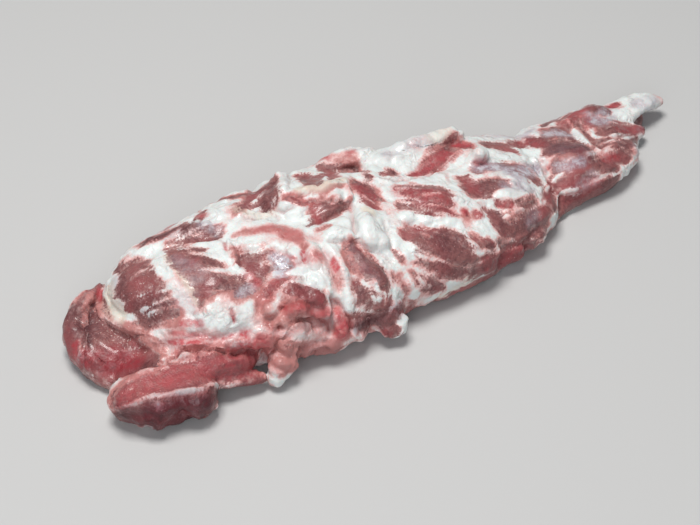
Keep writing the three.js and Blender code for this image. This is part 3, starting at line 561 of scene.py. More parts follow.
# Thin edges that stand up sharply: height in mm, and a stroke.
lips = {
    "sheet rim": (2.3, [(100, 283, 0.9), (88, 300, 1.0), (80, 312, 1.0), (82, 326, 0.9), (85, 342, 1.0),
        (83, 358, 1.0), (90, 370, 0.8)]),
    "hem": (0.9, [(92, 308, 0.6), (104, 316, 0.7), (120, 322, 0.7), (140, 331, 0.6)]),
    "slab front": (0.8, [(116, 406, 0.7), (140, 400, 0.7), (158, 392, 0.6), (184, 390, 0.7), (206, 388, 0.7),
        (222, 384, 0.6)]),
    "slab back": (0.7, [(118, 392, 0.6), (128, 380, 0.7), (148, 372, 0.6), (168, 366, 0.6)]),
    "fold edge": (1.5, [(277, 178, 0.7), (278, 190, 0.8), (277, 202, 0.8), (275, 210, 0.6)]),
    "fold top": (1.3, [(286, 202, 0.7), (302, 194, 0.7), (322, 184, 0.7), (340, 173, 0.8), (344, 184, 0.7)]),
    "recess flap": (1.2, [(238, 216, 0.6), (250, 212, 0.7), (262, 210, 0.6), (275, 216, 0.6)]),
    "fat sheet": (1.1, [(376, 163, 0.8), (396, 160, 0.8), (416, 153, 0.8), (436, 142, 0.9), (451, 131, 0.9)]),
    "roll edge": (1.2, [(316, 166, 0.7), (332, 168, 0.7), (346, 165, 0.7), (358, 160, 0.8), (372, 168, 0.8)]),
    "oval edge": (1.0, [(468, 166, 0.6), (486, 161, 0.7), (512, 158, 0.8), (532, 160, 0.9), (545, 176, 0.9),
        (548, 188, 0.8)]),
    "seam arc": (1.0, [(461, 236, 0.6), (472, 245, 0.7), (482, 252, 0.6), (494, 253, 0.5)]),
    "middle edge": (0.8, [(350, 246, 0.6), (364, 252, 0.6), (380, 262, 0.6), (390, 276, 0.6), (394, 290, 0.6)]),
    "flank edge": (0.8, [(404, 222, 0.6), (420, 230, 0.6), (440, 232, 0.6), (462, 240, 0.6)]),
    "finger line a": (0.9, [(306, 243, 0.6), (312, 258, 0.6), (322, 274, 0.6), (330, 290, 0.6)]),
    "finger line b": (0.9, [(330, 250, 0.6), (340, 266, 0.6), (346, 284, 0.6), (349, 300, 0.6)]),
    "torn edge a": (1.1, [(264, 300, 0.6), (272, 288, 0.7), (284, 282, 0.6), (300, 280, 0.6)]),
    "torn edge b": (1.2, [(284, 312, 0.6), (298, 308, 0.6), (310, 312, 0.6), (328, 306, 0.7)]),
    "torn edge c": (1.0, [(270, 322, 0.6), (284, 316, 0.7), (296, 322, 0.6)]),
    "torn edge d": (0.9, [(268, 334, 0.6), (288, 338, 0.6), (306, 334, 0.6), (324, 338, 0.6)]),
    "lump edge": (1.0, [(300, 352, 0.6), (316, 356, 0.7), (332, 346, 0.7)]),
    "far edge": (1.0, [(205, 212, 0.7), (222, 204, 0.8), (240, 198, 0.7), (256, 196, 0.6)]),
    "tail band": (0.8, [(566, 122, 0.7), (578, 134, 0.7), (590, 148, 0.7), (602, 154, 0.7)]),
    "tail fold a": (0.8, [(545, 182, 0.6), (562, 174, 0.6), (584, 172, 0.6), (604, 164, 0.6)]),
    "tail fold b": (0.8, [(556, 198, 0.6), (574, 190, 0.6), (592, 186, 0.6), (612, 176, 0.6)]),
    "tail tip": (1.0, [(612, 112, 0.7), (628, 116, 0.7), (640, 112, 0.7), (650, 104, 0.6)]),
    "right step": (0.9, [(498, 238, 0.6), (514, 240, 0.6), (530, 232, 0.6), (542, 218, 0.6)]),
    "right foot": (0.9, [(488, 256, 0.6), (506, 252, 0.6), (526, 246, 0.6), (538, 234, 0.6)]),
    "torn edge e": (1.1, [(262, 316, 0.5), (276, 312, 0.6), (290, 316, 0.6)]),
    "torn edge f": (1.0, [(264, 330, 0.5), (280, 334, 0.6), (296, 342, 0.6), (312, 342, 0.6)]),
    "tab edge": (1.0, [(296, 338, 0.6), (297, 352, 0.7), (292, 366, 0.7)]),
}

# Cracks and creases: depth in mm, and a stroke. They are sunk into the relief, and the material paints shade into
# them.
cracks = {
    "crevice": (1.8, [(170, 360, 0.6), (184, 351, 0.7), (202, 351, 0.6), (224, 352, 0.6), (240, 352, 0.8),
        (262, 347, 1.0)]),
    "torn crack": (2.8, [(299, 317, 0.8), (314, 317, 1.0), (329, 323, 1.0)]),
    "torn crack upper": (1.7, [(282, 308, 0.8), (298, 302, 0.8), (314, 304, 0.6)]),
    "torn crack upright": (2.6, [(331, 297, 0.8), (332, 306, 1.0), (329, 316, 1.0), (329, 328, 1.2)]),
    "torn hole": (2.2, [(279, 326, 1.1)]),
    "fold seam": (2.2, [(351, 205, 1.3), (352, 218, 0.9), (354, 232, 0.9), (357, 243, 0.9)]),
    "lobule seam": (1.2, [(357, 243, 0.7), (366, 250, 0.6), (380, 255, 0.6), (391, 262, 0.6)]),
    "lobule side": (0.9, [(384, 222, 0.9), (389, 238, 0.8), (391, 250, 0.8)]),
    "lobule gap": (1.4, [(328, 243, 0.8), (344, 243, 0.8), (355, 241, 0.8)]),
    "fold gap": (2.0, [(277, 198, 1.0), (275, 210, 0.9), (284, 214, 0.8), (293, 209, 0.7)]),
    "fold slit": (1.0, [(291, 172, 0.7), (289, 184, 0.7), (288, 192, 0.6)]),
    "fold under": (1.2, [(318, 223, 0.8), (334, 215, 0.9), (346, 209, 0.9)]),
    "fold top": (1.0, [(320, 200, 0.6), (332, 205, 0.6), (344, 203, 0.7)]),
    "recess crack a": (1.5, [(243, 217, 0.6), (254, 220, 0.7), (264, 218, 0.7)]),
    "recess crack b": (1.5, [(250, 209, 0.6), (263, 212, 0.7), (276, 217, 0.7), (279, 221, 0.5)]),
    "recess rim": (1.6, [(276, 180, 0.8), (278, 192, 0.8), (277, 202, 0.8)]),
    "fold hole": (1.2, [(347, 205, 0.9), (352, 207, 0.9)]),
    "far hole": (1.6, [(345, 167, 0.8), (353, 167, 1.0), (358, 170, 0.8)]),
    "ridge crack": (2.0, [(381, 178, 0.7), (396, 181, 0.8), (412, 180, 0.8), (426, 177, 0.8), (437, 171, 0.8)]),
    "lane crack": (1.2, [(400, 221, 0.7), (412, 226, 0.7), (424, 232, 0.7)]),
    "slit": (1.6, [(231, 311, 0.7), (232, 317, 0.8), (234, 322, 0.6)]),
    "cord slit": (1.2, [(225, 245, 0.7), (226, 252, 0.8)]),
    "cord side": (1.2, [(233, 246, 0.6), (239, 256, 0.8), (240, 268, 0.8)]),
    "dent": (1.3, [(238, 251, 0.8), (252, 251, 0.7), (264, 248, 0.4)]),
    "finger crack a": (1.4, [(304, 245, 0.7), (304, 262, 0.9)]),
    "finger crack b": (1.2, [(322, 250, 0.7), (330, 264, 0.8), (337, 280, 0.7), (340, 292, 0.6)]),
    "finger crack c": (0.9, [(272, 248, 0.6), (286, 254, 0.6), (300, 266, 0.7)]),
    "finger crack d": (0.8, [(313, 262, 0.5), (320, 276, 0.5), (326, 288, 0.5)]),
    "neck crack": (2.4, [(544, 172, 1.1), (547, 186, 1.3), (554, 192, 1.1)]),
    "neck crack low": (2.2, [(561, 196, 1.1), (559, 210, 1.6)]),
    "button crack": (1.4, [(474, 163, 0.9), (480, 164, 0.9), (487, 160, 0.8)]),
    "strip crack": (0.6, [(133, 331, 0.6), (148, 338, 0.7), (158, 350, 0.8)]),
    "rim crack": (0.9, [(84, 308, 0.7), (78, 322, 0.8), (83, 338, 0.8), (80, 354, 0.8)]),
    "bead crack": (2.0, [(334, 300, 0.7), (350, 318, 0.8), (349, 330, 0.9)]),
    "disc crack": (1.6, [(371, 317, 1.0), (372, 330, 1.2)]),
    "slab root": (1.5, [(112, 386, 0.8), (126, 374, 0.8), (146, 368, 0.8), (166, 361, 1.0)]),
    "oval line": (1.2, [(496, 206, 0.8), (512, 209, 0.8)]),
    "tail line": (1.0, [(573, 122, 0.7), (584, 136, 0.7), (592, 144, 0.7)]),
    "tail low crack": (1.0, [(584, 176, 0.7), (600, 178, 0.7), (616, 170, 0.7)]),
    "tail side crack": (0.9, [(602, 150, 0.8), (606, 140, 0.7), (620, 136, 0.7)]),
    "tab root": (2.2, [(262, 350, 1.0), (266, 358, 1.1), (266, 366, 1.2)]),
    "tab side": (1.8, [(300, 344, 0.9), (300, 356, 1.1)]),
    "flank step": (0.9, [(466, 241, 0.7), (476, 250, 0.7), (494, 254, 0.7)]),
    "hole a": (1.3, [(366, 213, 0.6)]),
    "hole b": (1.2, [(369, 219, 0.6)]),
    "hole c": (1.2, [(388, 214, 0.7)]),
    "hole d": (1.2, [(392, 233, 0.6)]),
    "hole e": (1.0, [(245, 336, 1.0)]),
    "hole f": (1.0, [(226, 346, 0.7)]),
    "hole g": (1.0, [(213, 348, 0.7)]),
}


def makeBody(value):
    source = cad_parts["pork_pluma"]
    body = bpy.data.objects.new("raw_pluma", source.data.copy())
    body.data.materials.clear()
    bpy.context.scene.collection.objects.link(body)
    remesh = body.modifiers.new("remesh", "REMESH")
    remesh.mode, remesh.voxel_size = "VOXEL", value["voxel"] / 1000
    smooth = body.modifiers.new("smooth", "SMOOTH")
    smooth.factor, smooth.iterations = 0.5, value["smoothing"]
    bpy.context.view_layer.update()
    made = body.evaluated_get(bpy.context.evaluated_depsgraph_get())
    old, body.data = body.data, bpy.data.meshes.new_from_object(made)
    body.modifiers.clear()
    bpy.data.meshes.remove(old)
    body.data.name = "raw_pluma"
    return body


body = makeBody(meat)
count = len(body.data.vertices)
spots = np.empty(count * 3)
body.data.vertices.foreach_get("co", spots)
spots = spots.reshape(-1, 3) * 1000  # mm
normals = np.empty(count * 3)
body.data.vertices.foreach_get("normal", normals)
normals = normals.reshape(-1, 3)
print("body remeshed:", count, "vertices")

tree = BVHTree.FromObject(body, bpy.context.evaluated_depsgraph_get())


def onSurface(px, py):
    # the point of the meat that shows at a pixel of the photo, or the nearest one if it is just off it
    start, way = pixelRay(px, py)
    hit = tree.ray_cast(start, way)[0]
    if hit is None:
        near = [tree.find_nearest(start + way * far) for far in np.arange(0.5, 0.9, 0.004)]
        hit = min(near, key=lambda found: found[3])[0]
    return np.array(hit) * 1000


def strokeField(points, reach):
    # for the vertices within reach of a stroke: their numbers, distance to its middle line and half width there
    line = np.array([onSurface(px, py) for px, py, width in points])
    widths = np.array([width for px, py, width in points], float)
    if len(line) == 1:
        line, widths = np.repeat(line, 2, 0), np.repeat(widths, 2)
    room = widths.max() + reach
    inside = np.all((spots > line.min(0) - room) & (spots < line.max(0) + room), axis=1)
    chosen = np.nonzero(inside)[0]
    near = spots[chosen]
    best = np.full(len(chosen), 1e9)
    away = np.full(len(chosen), 1e9)
    half = np.ones(len(chosen))
    for a, b, wa, wb in zip(line[:-1], line[1:], widths[:-1], widths[1:]):
        step = b - a
        t = np.clip((near - a) @ step / max(step @ step, 1e-9), 0, 1)
        gap = np.linalg.norm(near - a - t[:, None] * step, axis=1)
        width = wa + (wb - wa) * t
        closer = gap - width < best
        best = np.where(closer, gap - width, best)
        away = np.where(closer, gap, away)
        half = np.where(closer, width, half)
    return chosen, away, half


def greatest(strokes, reach, unevenness, form):
    # the most that any of the strokes gives each vertex, by the distance to its middle line in half widths
    total = np.zeros(count)
    for strength, points in strokes:
        chosen, away, half = strokeField(points, reach)
        given = strength * form((away + unevenness * edgeNoise[chosen]) / half)
        total[chosen] = np.maximum(total[chosen], given)
    return total


def planTurn(px, py, degrees):
    # the way in plan that the grain runs where it shows at that slope in the photo
    height = onSurface(px, py)[2] / 1000
    slope = math.radians(degrees)

    def level(x, y):
        start, way = pixelRay(x, y)
        return start + way * (height - start.z) / way.z

    run = level(px + 5 * math.cos(slope), py + 5 * math.sin(slope)) - level(px, py)
    return math.atan2(run.y, run.x)


edgeNoise = sum(reach * noiseAt(spots, size, 3.3) for size, reach in meat["edgeNoise"])

edges = np.empty(len(body.data.edges) * 2, int)
body.data.edges.foreach_get("vertices", edges)
edges = edges.reshape(-1, 2)
neighbours = np.bincount(edges.ravel(), minlength=count)


def spreadOut(values, rounds):
    # averages a value of each vertex with its neighbours'
    for _ in range(rounds):
        total = np.bincount(edges[:, 0], values[edges[:, 1]], count)
        total += np.bincount(edges[:, 1], values[edges[:, 0]], count)
        values = 0.5 * values + 0.5 * total / neighbours
    return values


# where nothing is painted: long muscles with seams of fat, running along the cut
wander = np.stack([noiseAt(spots, 14, shift) for shift in (1, 2, 3)], 1)
bundles, gaps = cellsAt(spots * np.array([0.32, 1, 1]) + 2.5 * wander, 13, 0.4)
hidden = np.clip(9 * (gaps - bundles) - 1.6 + 2.6 * noiseAt(spots, 22, 5.5) + edgeNoise, -7, 7)
low = 1 - smoothStep(spots[:, 2], meat["lowTop"][0], meat["lowTop"][1])

# lean is the distance in mm inside the lean, and less than 0 in fat
lean = np.maximum(-7.0, hidden * low - 7 * (1 - low))
grain = np.full(count, 0.2)
nearestLean = np.full(count, -9.0)
for name, (kind, slope, points) in tissue.items():
    chosen, away, half = strokeField(points, 9)
    inside = half - away + edgeNoise[chosen] * np.clip(half / 3, 0.25, 1)
    if kind == "lean":
        lean[chosen] = np.maximum(lean[chosen], inside)
        middle = points[len(points) // 2]
        closer = inside > nearestLean[chosen]
        grain[chosen[closer]] = planTurn(middle[0], middle[1], slope)
        nearestLean[chosen] = np.maximum(nearestLean[chosen], inside)
    else:
        lean[chosen] = np.minimum(lean[chosen], -inside)
print("tissue painted")

# what the camera doesn't see has that same pattern
toEye = np.array(eye.matrix_world.translation) * 1000 - spots
toEye /= np.linalg.norm(toEye, axis=1, keepdims=True)
facing = (normals * toEye).sum(1)
unseen = 1 - smoothStep(facing, -0.25, 0.05)
lean = lean * (1 - unseen) + hidden * unseen
grain = np.where(unseen > 0.5, 0.15 * noiseAt(spots, 40, 2.2), grain)

# the way the fibres run, smoothed, along the surface
ways = [spreadOut(part(2 * grain), meat["grainRounds"]) for part in (np.cos, np.sin)]
turn = 0.5 * np.arctan2(ways[1], ways[0])
fibreWay = np.stack([np.cos(turn), np.sin(turn), np.zeros(count)], 1)
fibreWay -= normals * (fibreWay * normals).sum(1)[:, None]
fibreWay /= np.maximum(np.linalg.norm(fibreWay, axis=1, keepdims=True), 1e-6)


def fibreNoise(width, length, shift):
    # noise drawn out along the fibres, from about -1 to 1
    steps = np.linspace(-0.5, 0.5, 9) * length
    total = sum(noiseAt(spots + fibreWay * step, width, shift) for step in steps)
    return total / total.std() / 2


fine = fibreNoise(meat["fibre"][0], meat["fibre"][1], 7.3)
coarse = fibreNoise(meat["bundle"][0], meat["bundle"][1], 4.1)
lean += meat["feather"] * (0.6 * coarse + 0.4 * fine)

stainAndShade = {}
for wanted in ("pink", "red", "dark", "cream", "veil", "flecksAndGlints"):
    strokes = [(strength, points) for kind, strength, points in stainsShadeAndGlints.values() if kind == wanted]
    stainAndShade[wanted] = greatest(strokes, 3, -0.6, lambda away: smoothStep(1 - away, -0.45, 0.75))
stainAndShade["pink"] = np.maximum(stainAndShade["pink"], unseen * np.clip(0.25 + 0.5 * noiseAt(spots, 17, 8.1), 0, 0.7))
stainAndShade["veil"] = np.maximum(stainAndShade["veil"], unseen * np.clip(1.6 * noiseAt(spots, 24, 9.7) - 0.1, 0, 0.8))
print("stains painted")

# relief: crumples, fat standing over lean, lobules of fat, torn folds, then round lobes, thin edges and cracks
relief = sum(height * noiseAt(spots, size, 6.1) for size, height in meat["crumple"])
fatness = smoothStep(-lean, -0.5, 1.4)
relief += meat["fatStep"] * fatness
seedAway, nextAway = cellsAt(spots + 1.2 * wander, meat["lobuleSize"], 0.2)
relief += meat["lobuleHeight"] * fatness * (smoothStep(nextAway - seedAway, 0, 0.35) - 0.6)
relief += meat["bundleHeight"] * (1 - fatness) * coarse
strokes = [(1, points) for points in ragged.values()]
torn = greatest(strokes, 3, 0, lambda away: smoothStep(1 - away, -0.5, 0.6))
for size, height in meat["folds"]:
    relief += torn * height * (0.5 - np.abs(noiseAt(spots + 0.8 * wander, size, 9.4)) * 2)
relief += greatest(lobes.values(), 1, 0.25, lambda away: np.sqrt(np.clip(1 - (away / 1.15) ** 2, 0, 1)))
relief += greatest(lips.values(), 3, 0.2, lambda away: np.exp(-np.abs(away) / 1.2))
crack = greatest(cracks.values(), 3, 0.15, lambda away: np.exp(-(away / 0.95) ** 2))
relief -= crack
relief = spreadOut(relief, 1) * smoothStep(spots[:, 2], 0.3, 2.5)
moved = spots + normals * relief[:, None]
moved[:, 2] = np.maximum(moved[:, 2], 0)
body.data.vertices.foreach_set("co", (moved / 1000).ravel())
body.data.shade_smooth()
body.data.update()
print("relief raised")


def addAttribute(name, values):
    kind, key = ("FLOAT", "value") if values.ndim == 1 else ("FLOAT_VECTOR", "vector")
    layer = body.data.attributes.new(name, kind, "POINT")
    layer.data.foreach_set(key, np.ascontiguousarray(values, dtype=np.float32).ravel())


addAttribute("lean", lean)
addAttribute("fibreWay", fibreWay)
# pink and red stains, and the painted shade of the dark kind
addAttribute("stainAndShade", np.stack([stainAndShade["pink"], stainAndShade["red"], stainAndShade["dark"]], 1))
addAttribute("flecksAndGlints", stainAndShade["flecksAndGlints"])
# cream, silverskin, and the depth of the cracks for their painted shade
addAttribute("cover", np.stack([stainAndShade["cream"], stainAndShade["veil"], np.clip(crack / 2.4, 0, 1)], 1))
print("attributes stored")


# Node tree helpers: each takes numbers or sockets and gives back the socket it makes.
def feed(tree, socket, value):
    if isinstance(value, bpy.types.NodeSocket):
        tree.links.new(value, socket)
    else:
        socket.default_value = value


def compute(tree, operation, *values):
    node = tree.nodes.new("ShaderNodeMath")
    node.operation = operation
    for socket, value in zip(node.inputs, values):
        feed(tree, socket, value)
    return node.outputs[0]


def times(tree, first, second):
    return compute(tree, "MULTIPLY", first, second)


def timesPlus(tree, first, second, more):
    return compute(tree, "MULTIPLY_ADD", first, second, more)


def centred(tree, value):
    return compute(tree, "SUBTRACT", value, 0.5)


def scaled(tree, vector, by):
    node = tree.nodes.new("ShaderNodeVectorMath")
    node.operation = "SCALE"
    feed(tree, node.inputs[0], vector)
    feed(tree, node.inputs["Scale"], by)
    return node.outputs[0]


def moveAlong(tree, point, way, by):
    node = tree.nodes.new("ShaderNodeVectorMath")
    node.operation = "ADD"
    feed(tree, node.inputs[0], point)
    feed(tree, node.inputs[1], scaled(tree, way, by))
    return node.outputs[0]


def rise(tree, value, low, high, start=0.0, end=1.0):
    # goes smoothly from start to end as the value goes from low to high
    node = tree.nodes.new("ShaderNodeMapRange")
    node.interpolation_type = "SMOOTHSTEP"
    for socket, given in zip(node.inputs, (value, low, high, start, end)):
        feed(tree, socket, given)
    return node.outputs[0]


def blendColour(tree, amount, first, second, kind="MIX"):
    node = tree.nodes.new("ShaderNodeMix")
    node.data_type, node.blend_type = "RGBA", kind
    feed(tree, node.inputs["Factor"], amount)
    feed(tree, node.inputs[6], first)
    feed(tree, node.inputs[7], second)
    return node.outputs[2]


def cloud(tree, point, size, detail=2.0, roughness=0.5):
    # soft noise from 0 to 1 with lumps of that size in mm
    node = tree.nodes.new("ShaderNodeTexNoise")
    feed(tree, node.inputs["Vector"], point)
    feed(tree, node.inputs["Scale"], 1 / size)
    node.inputs["Detail"].default_value = detail
    node.inputs["Roughness"].default_value = roughness
    return node.outputs[0]


def splitVector(tree, vector):
    node = tree.nodes.new("ShaderNodeSeparateXYZ")
    feed(tree, node.inputs[0], vector)
    return node.outputs


def makeGroup(name, inputs, outputs):
    group = bpy.data.node_groups.new(name, "ShaderNodeTree")
    for label, kind, value in inputs:
        socket = group.interface.new_socket(name=label, in_out="INPUT", socket_type="NodeSocket" + kind)
        socket.default_value = value
    for label, kind in outputs:
        group.interface.new_socket(name=label, in_out="OUTPUT", socket_type="NodeSocket" + kind)
    given = group.nodes.new("NodeGroupInput").outputs
    return group, given, group.nodes.new("NodeGroupOutput").inputs


def place(tree, group, **values):
    node = tree.nodes.new("ShaderNodeGroup")
    node.node_tree = group
    for label, value in values.items():
        feed(tree, node.inputs[label], value)
    return node.outputs


def fibresGroup():
    # noise drawn out along the way the fibres run: about 0.5, more on some strands and less on others
    group, given, out = makeGroup("fibres", [
        ("Point", "Vector", (0, 0, 0)), ("Way", "Vector", (1, 0, 0)),
        ("Width", "Float", 1.0), ("Length", "Float", 8.0)], [("Strands", "Float")])
    scale = compute(group, "DIVIDE", 1.0, given["Width"])
    total = None
    for step in (-0.5, -0.3, -0.1, 0.1, 0.3, 0.5):
        at = moveAlong(group, given["Point"], given["Way"], times(group, given["Length"], step))
        node = group.nodes.new("ShaderNodeTexNoise")
        group.links.new(at, node.inputs["Vector"])
        group.links.new(scale, node.inputs["Scale"])
        node.inputs["Detail"].default_value = 1
        total = node.outputs[0] if total is None else compute(group, "ADD", total, node.outputs[0])
    # six samples lie close to their mean, so the spread is opened again
    spread = timesPlus(group, total, 2.2 / 6, 0.5 - 2.2 / 2)
    group.links.new(spread, out["Strands"])
    return group


def leanGroup(fibres):
    # muscle: strands, darker and lighter patches, and thin pale marbling along the strands
    group, given, out = makeGroup("lean flesh", [
        ("Point", "Vector", (0, 0, 0)), ("Way", "Vector", (1, 0, 0)),
        ("Light", "Color", (1, 1, 1, 1)), ("Dark", "Color", (0, 0, 0, 1)), ("Red", "Color", (1, 0, 0, 1)),
        ("Marbling Color", "Color", (1, 1, 1, 1)),
        ("Marbling", "Float", 0.5)], [("Color", "Color"), ("Height", "Float")])
    strands = place(group, fibres, Point=given["Point"], Way=given["Way"], Width=0.9, Length=12.0)[0]
    bundleNoise = place(group, fibres, Point=given["Point"], Way=given["Way"], Width=2.6, Length=20.0)[0]
    patches = cloud(group, given["Point"], 13)
    tone = timesPlus(group, strands, 0.5, times(group, patches, 0.8))
    tone = timesPlus(group, bundleNoise, 0.5, tone)
    colour = blendColour(group, rise(group, tone, 0.6, 1.2), given["Dark"], given["Light"])
    redness = cloud(group, moveAlong(group, given["Point"], (7, 3, 5), 10.0), 16, 3)
    colour = blendColour(group, rise(group, redness, 0.46, 0.7, 0.0, 0.6), colour, given["Red"])
    both = timesPlus(group, bundleNoise, 0.5, times(group, strands, 0.5))
    streaks = rise(group, both, 0.62, 0.86)
    here = rise(group, cloud(group, given["Point"], 11, 1), 0.42, 0.62, 0.1, 1.0)
    amount = times(group, times(group, streaks, here), given["Marbling"])
    group.links.new(blendColour(group, amount, colour, given["Marbling Color"]), out["Color"])
    fineGrain = cloud(group, given["Point"], 0.7, 3)
    height = timesPlus(group, strands, 0.5, times(group, fineGrain, 0.22))
    group.links.new(timesPlus(group, bundleNoise, 0.45, height), out["Height"])
    return group


def fatGroup():
    # fat: red where it is a thin film, then pink, and white where it is thick, in soft creased lobules
    group, given, out = makeGroup("fat", [
        ("Point", "Vector", (0, 0, 0)), ("Strands", "Float", 0.5),
        ("Thickness", "Float", 5.0), ("Cream Amount", "Float", 0.0),
        ("Film", "Color", (0.5, 0.2, 0.2, 1)), ("Pink", "Color", (1, 0.5, 0.5, 1)), ("White", "Color", (1, 1, 1, 1)),
        ("Cream", "Color", (1, 0.9, 0.7, 1)), ("Crease", "Color", (1, 0.6, 0.6, 1))],
        [("Color", "Color"), ("Height", "Float")])
    drift = centred(group, cloud(group, given["Point"], 5, 4, 0.6))
    broad = centred(group, cloud(group, given["Point"], 15, 1))
    drift = timesPlus(group, broad, 7.0, times(group, drift, 2.6))
    drift = timesPlus(group, given["Strands"], 1.4, compute(group, "SUBTRACT", drift, 0.7))
    thick = compute(group, "ADD", drift, given["Thickness"])
    colour = blendColour(group, rise(group, thick, -0.8, 1.0), given["Film"], given["Pink"])
    colour = blendColour(group, rise(group, thick, 0.1, 2.5), colour, given["White"])
    colour = blendColour(group, given["Cream Amount"], colour, given["Cream"])
    warped = group.nodes.new("ShaderNodeTexNoise")
    group.links.new(given["Point"], warped.inputs["Vector"])
    warped.inputs["Scale"].default_value = 1 / 3
    bend = moveAlong(group, given["Point"], warped.outputs[1], 2.2)
    cells = group.nodes.new("ShaderNodeTexVoronoi")
    cells.feature = "DISTANCE_TO_EDGE"
    group.links.new(bend, cells.inputs["Vector"])
    cells.inputs["Scale"].default_value = 1 / 3.4
    crease = rise(group, cells.outputs["Distance"], 0.0, 0.16, 1.0, 0.0)
    some = rise(group, cloud(group, given["Point"], 7, 1), 0.45, 0.7)
    creased = times(group, times(group, crease, some), 0.22)
    group.links.new(blendColour(group, creased, colour, given["Crease"]), out["Color"])
    bumps = rise(group, cells.outputs["Distance"], 0.0, 0.3)
    height = times(group, bumps, times(group, some, 0.5))
    group.links.new(timesPlus(group, cloud(group, given["Point"], 1.4, 3), 0.5, height), out["Height"])
    return group


pork = {
    "leanLight": (0.34, 0.14, 0.132),
    "leanDark": (0.14, 0.046, 0.05),
    "leanRed": (0.41, 0.10, 0.105),
    "marbling": (0.66, 0.47, 0.44),
    "fatFilm": (0.50, 0.21, 0.195),
    "fatPink": (0.74, 0.44, 0.42),
    "fatWhite": (0.765, 0.80, 0.785),
    "fatCream": (0.74, 0.66, 0.56),
    "fatCrease": (0.60, 0.30, 0.29),
    "bloodAndShade": (0.50, 0.055, 0.07),
    "shade": (0.33, 0.20, 0.26),  # painted shade, and darker lean: what the dark kind multiplies the colour by
    "crackShade": (0.55, 0.25, 0.25),  # painted shade in the cracks, with a red tint: what the cracks multiply by
    "skin": (0.62, 0.60, 0.65),  # silverskin, and the lean that shows through it
    "skinUnder": (0.34, 0.21, 0.25),
    "fatLimit": 2.9,  # mm
    "pinkThins": 3.8,  # mm of fat that a full pink stain takes off
    "roughLean": 0.42,
    "roughFat": 0.46,
    "coatRoughness": 0.16,
    "bump": 0.7,
}


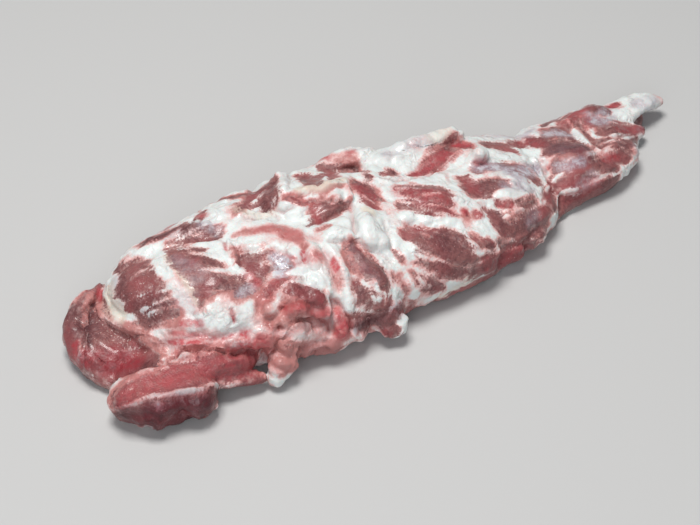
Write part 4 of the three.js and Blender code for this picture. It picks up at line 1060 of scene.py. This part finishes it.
def makeRawPork(value):
    material = bpy.data.materials.new("raw_pork")
    material.use_nodes = True
    tree = material.node_tree
    shader = tree.nodes["Principled BSDF"]
    colours = {key: (*value[key], 1) for key in value if isinstance(value[key], tuple)}

    def attribute(name, output):
        node = tree.nodes.new("ShaderNodeAttribute")
        node.attribute_name = name
        return node.outputs[output]

    point = scaled(tree, tree.nodes.new("ShaderNodeTexCoord").outputs["Object"], 1000.0)  # mm
    way = attribute("fibreWay", "Vector")
    pink, red, dark = splitVector(tree, attribute("stainAndShade", "Vector"))[:3]
    cream, veil, crackDepth = splitVector(tree, attribute("cover", "Vector"))[:3]

    fibres = fibresGroup()
    lean = place(tree, leanGroup(fibres), Point=point, Way=way, Light=colours["leanLight"],
                 Dark=colours["leanDark"], Red=colours["leanRed"], Marbling=0.55,
                 **{"Marbling Color": colours["marbling"]})
    # where lean ends and fat begins, feathered along the strands
    feather = place(tree, fibres, Point=point, Way=way, Width=1.0, Length=8.0)[0]
    inside = timesPlus(tree, centred(tree, feather), 3.4, attribute("lean", "Fac"))
    inside = timesPlus(tree, centred(tree, cloud(tree, point, 1.6)), 1.2, inside)
    isLean = rise(tree, inside, -0.7, 0.8)
    thickness = compute(tree, "MINIMUM", times(tree, inside, -1.0), value["fatLimit"])
    thickness = timesPlus(tree, pink, -value["pinkThins"], thickness)
    fat = place(tree, fatGroup(), Point=point, Strands=feather, Thickness=thickness, Film=colours["fatFilm"],
                Pink=colours["fatPink"], White=colours["fatWhite"], Cream=colours["fatCream"],
                Crease=colours["fatCrease"], **{"Cream Amount": cream})
    colour = blendColour(tree, isLean, fat["Color"], lean["Color"])

    # a thin film of fat over the lean near its edge
    film = rise(tree, cloud(tree, point, 2.4, 3), 0.42, 0.66)
    film = times(tree, film, rise(tree, inside, 0.3, 2.6, 1.0, 0.0))
    film = times(tree, film, times(tree, isLean, 0.45))
    colour = blendColour(tree, film, colour, colours["marbling"])

    under = times(tree, veil, rise(tree, cloud(tree, point, 7, 2), 0.42, 0.6, 0.2, 0.85))
    colour = blendColour(tree, under, colour, colours["skinUnder"])
    sheen = timesPlus(tree, feather, 0.3, cloud(tree, point, 3.2, 4, 0.65))
    sheen = rise(tree, sheen, 0.52, 0.8, 0.12, 0.85)
    colour = blendColour(tree, times(tree, veil, sheen), colour, colours["skin"])
    # small white flecks, partly fat flecks and partly painted glints
    least = timesPlus(tree, attribute("flecksAndGlints", "Fac"), -0.12, 0.73)
    fleckAndGlint = compute(tree, "SUBTRACT", cloud(tree, point, 0.9, 1), least)
    colour = blendColour(tree, rise(tree, fleckAndGlint, 0.0, 0.05, 0.0, 0.75), colour, colours["marbling"])
    # red stains in the blood colour, which also paints the shadow under the button
    bloodAndShade = times(tree, red, rise(tree, cloud(tree, point, 2.2, 3), 0.3, 0.62, 0.4, 0.9))
    colour = blendColour(tree, bloodAndShade, colour, colours["bloodAndShade"])
    # painted shade: the dark kind multiplies the colour by the shade colour
    colour = blendColour(tree, times(tree, dark, 0.9), colour, colours["shade"], "MULTIPLY")
    # painted shade in the cracks and creases, with a red tint
    colour = blendColour(tree, times(tree, crackDepth, 0.75), colour, colours["crackShade"], "MULTIPLY")
    tree.links.new(colour, shader.inputs["Base Color"])

    wetness = cloud(tree, point, 6, 3)
    rough = rise(tree, isLean, 0.0, 1.0, value["roughFat"], value["roughLean"])
    rough = timesPlus(tree, centred(tree, wetness), -0.3, rough)
    tree.links.new(timesPlus(tree, veil, -0.1, rough), shader.inputs["Roughness"])
    coat = rise(tree, wetness, 0.42, 0.68, 0.06, 0.6)
    tree.links.new(coat, shader.inputs["Coat Weight"])
    shader.inputs["Coat Roughness"].default_value = value["coatRoughness"]
    shader.inputs["IOR"].default_value = 1.4
    shader.inputs["Subsurface Weight"].default_value = 0.12
    shader.inputs["Subsurface Radius"].default_value = (1.0, 0.35, 0.25)
    shader.inputs["Subsurface Scale"].default_value = 0.0018

    gain = compute(tree, "SUBTRACT", lean["Height"], fat["Height"])
    height = timesPlus(tree, gain, isLean, fat["Height"])
    bump = tree.nodes.new("ShaderNodeBump")
    bump.inputs["Strength"].default_value = value["bump"]
    bump.inputs["Distance"].default_value = 0.001
    tree.links.new(height, bump.inputs["Height"])
    tree.links.new(bump.outputs[0], shader.inputs["Normal"])
    return material


body.data.materials.append(makeRawPork(pork))
print("material made")

# Pale floor and soft studio light.
studio = {
    "floorSize": 3.0, "floor": (0.56, 0.56, 0.555), "world": (0.9, 0.95, 1.0), "worldStrength": 0.19,
    "key": {"from": (-0.14, 0.12, 1.28), "size": 0.5, "power": 14.2, "colour": (1.0, 0.98, 0.96)},
    "fill": {"from": (-0.62, -0.7, 0.55), "size": 0.7, "power": 3.5, "colour": (0.95, 0.97, 1.0)},
}


def makeFloor(value):
    half = value["floorSize"] / 2
    mesh = bpy.data.meshes.new("floor")
    mesh.from_pydata([(-half, -half, 0), (half, -half, 0), (half, half, 0), (-half, half, 0)], [], [(0, 1, 2, 3)])
    floor = bpy.data.objects.new("floor", mesh)
    bpy.context.scene.collection.objects.link(floor)
    material = bpy.data.materials.new("floor")
    material.use_nodes = True
    shader = material.node_tree.nodes["Principled BSDF"]
    shader.inputs["Base Color"].default_value = (*value["floor"], 1)
    shader.inputs["Roughness"].default_value = 0.9
    mesh.materials.append(material)
    return floor


def makeLight(name, value):
    data = bpy.data.lights.new(name, "AREA")
    data.size, data.energy, data.color = value["size"], value["power"], value["colour"]
    light = bpy.data.objects.new(name, data)
    light.location = value["from"]
    light.rotation_euler = Vector(value["from"]).to_track_quat("Z", "Y").to_euler()
    bpy.context.scene.collection.objects.link(light)


floor = makeFloor(studio)
for name in ("key", "fill"):
    makeLight(name, studio[name])
world = bpy.data.worlds.new("studio")
world.use_nodes = True
background = world.node_tree.nodes["Background"]
background.inputs["Color"].default_value = (*studio["world"], 1)
background.inputs["Strength"].default_value = studio["worldStrength"]
bpy.context.scene.world = world
bpy.context.scene.view_settings.view_transform = "Standard"
print("studio set")

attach(body, "root")
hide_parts("pork_pluma")
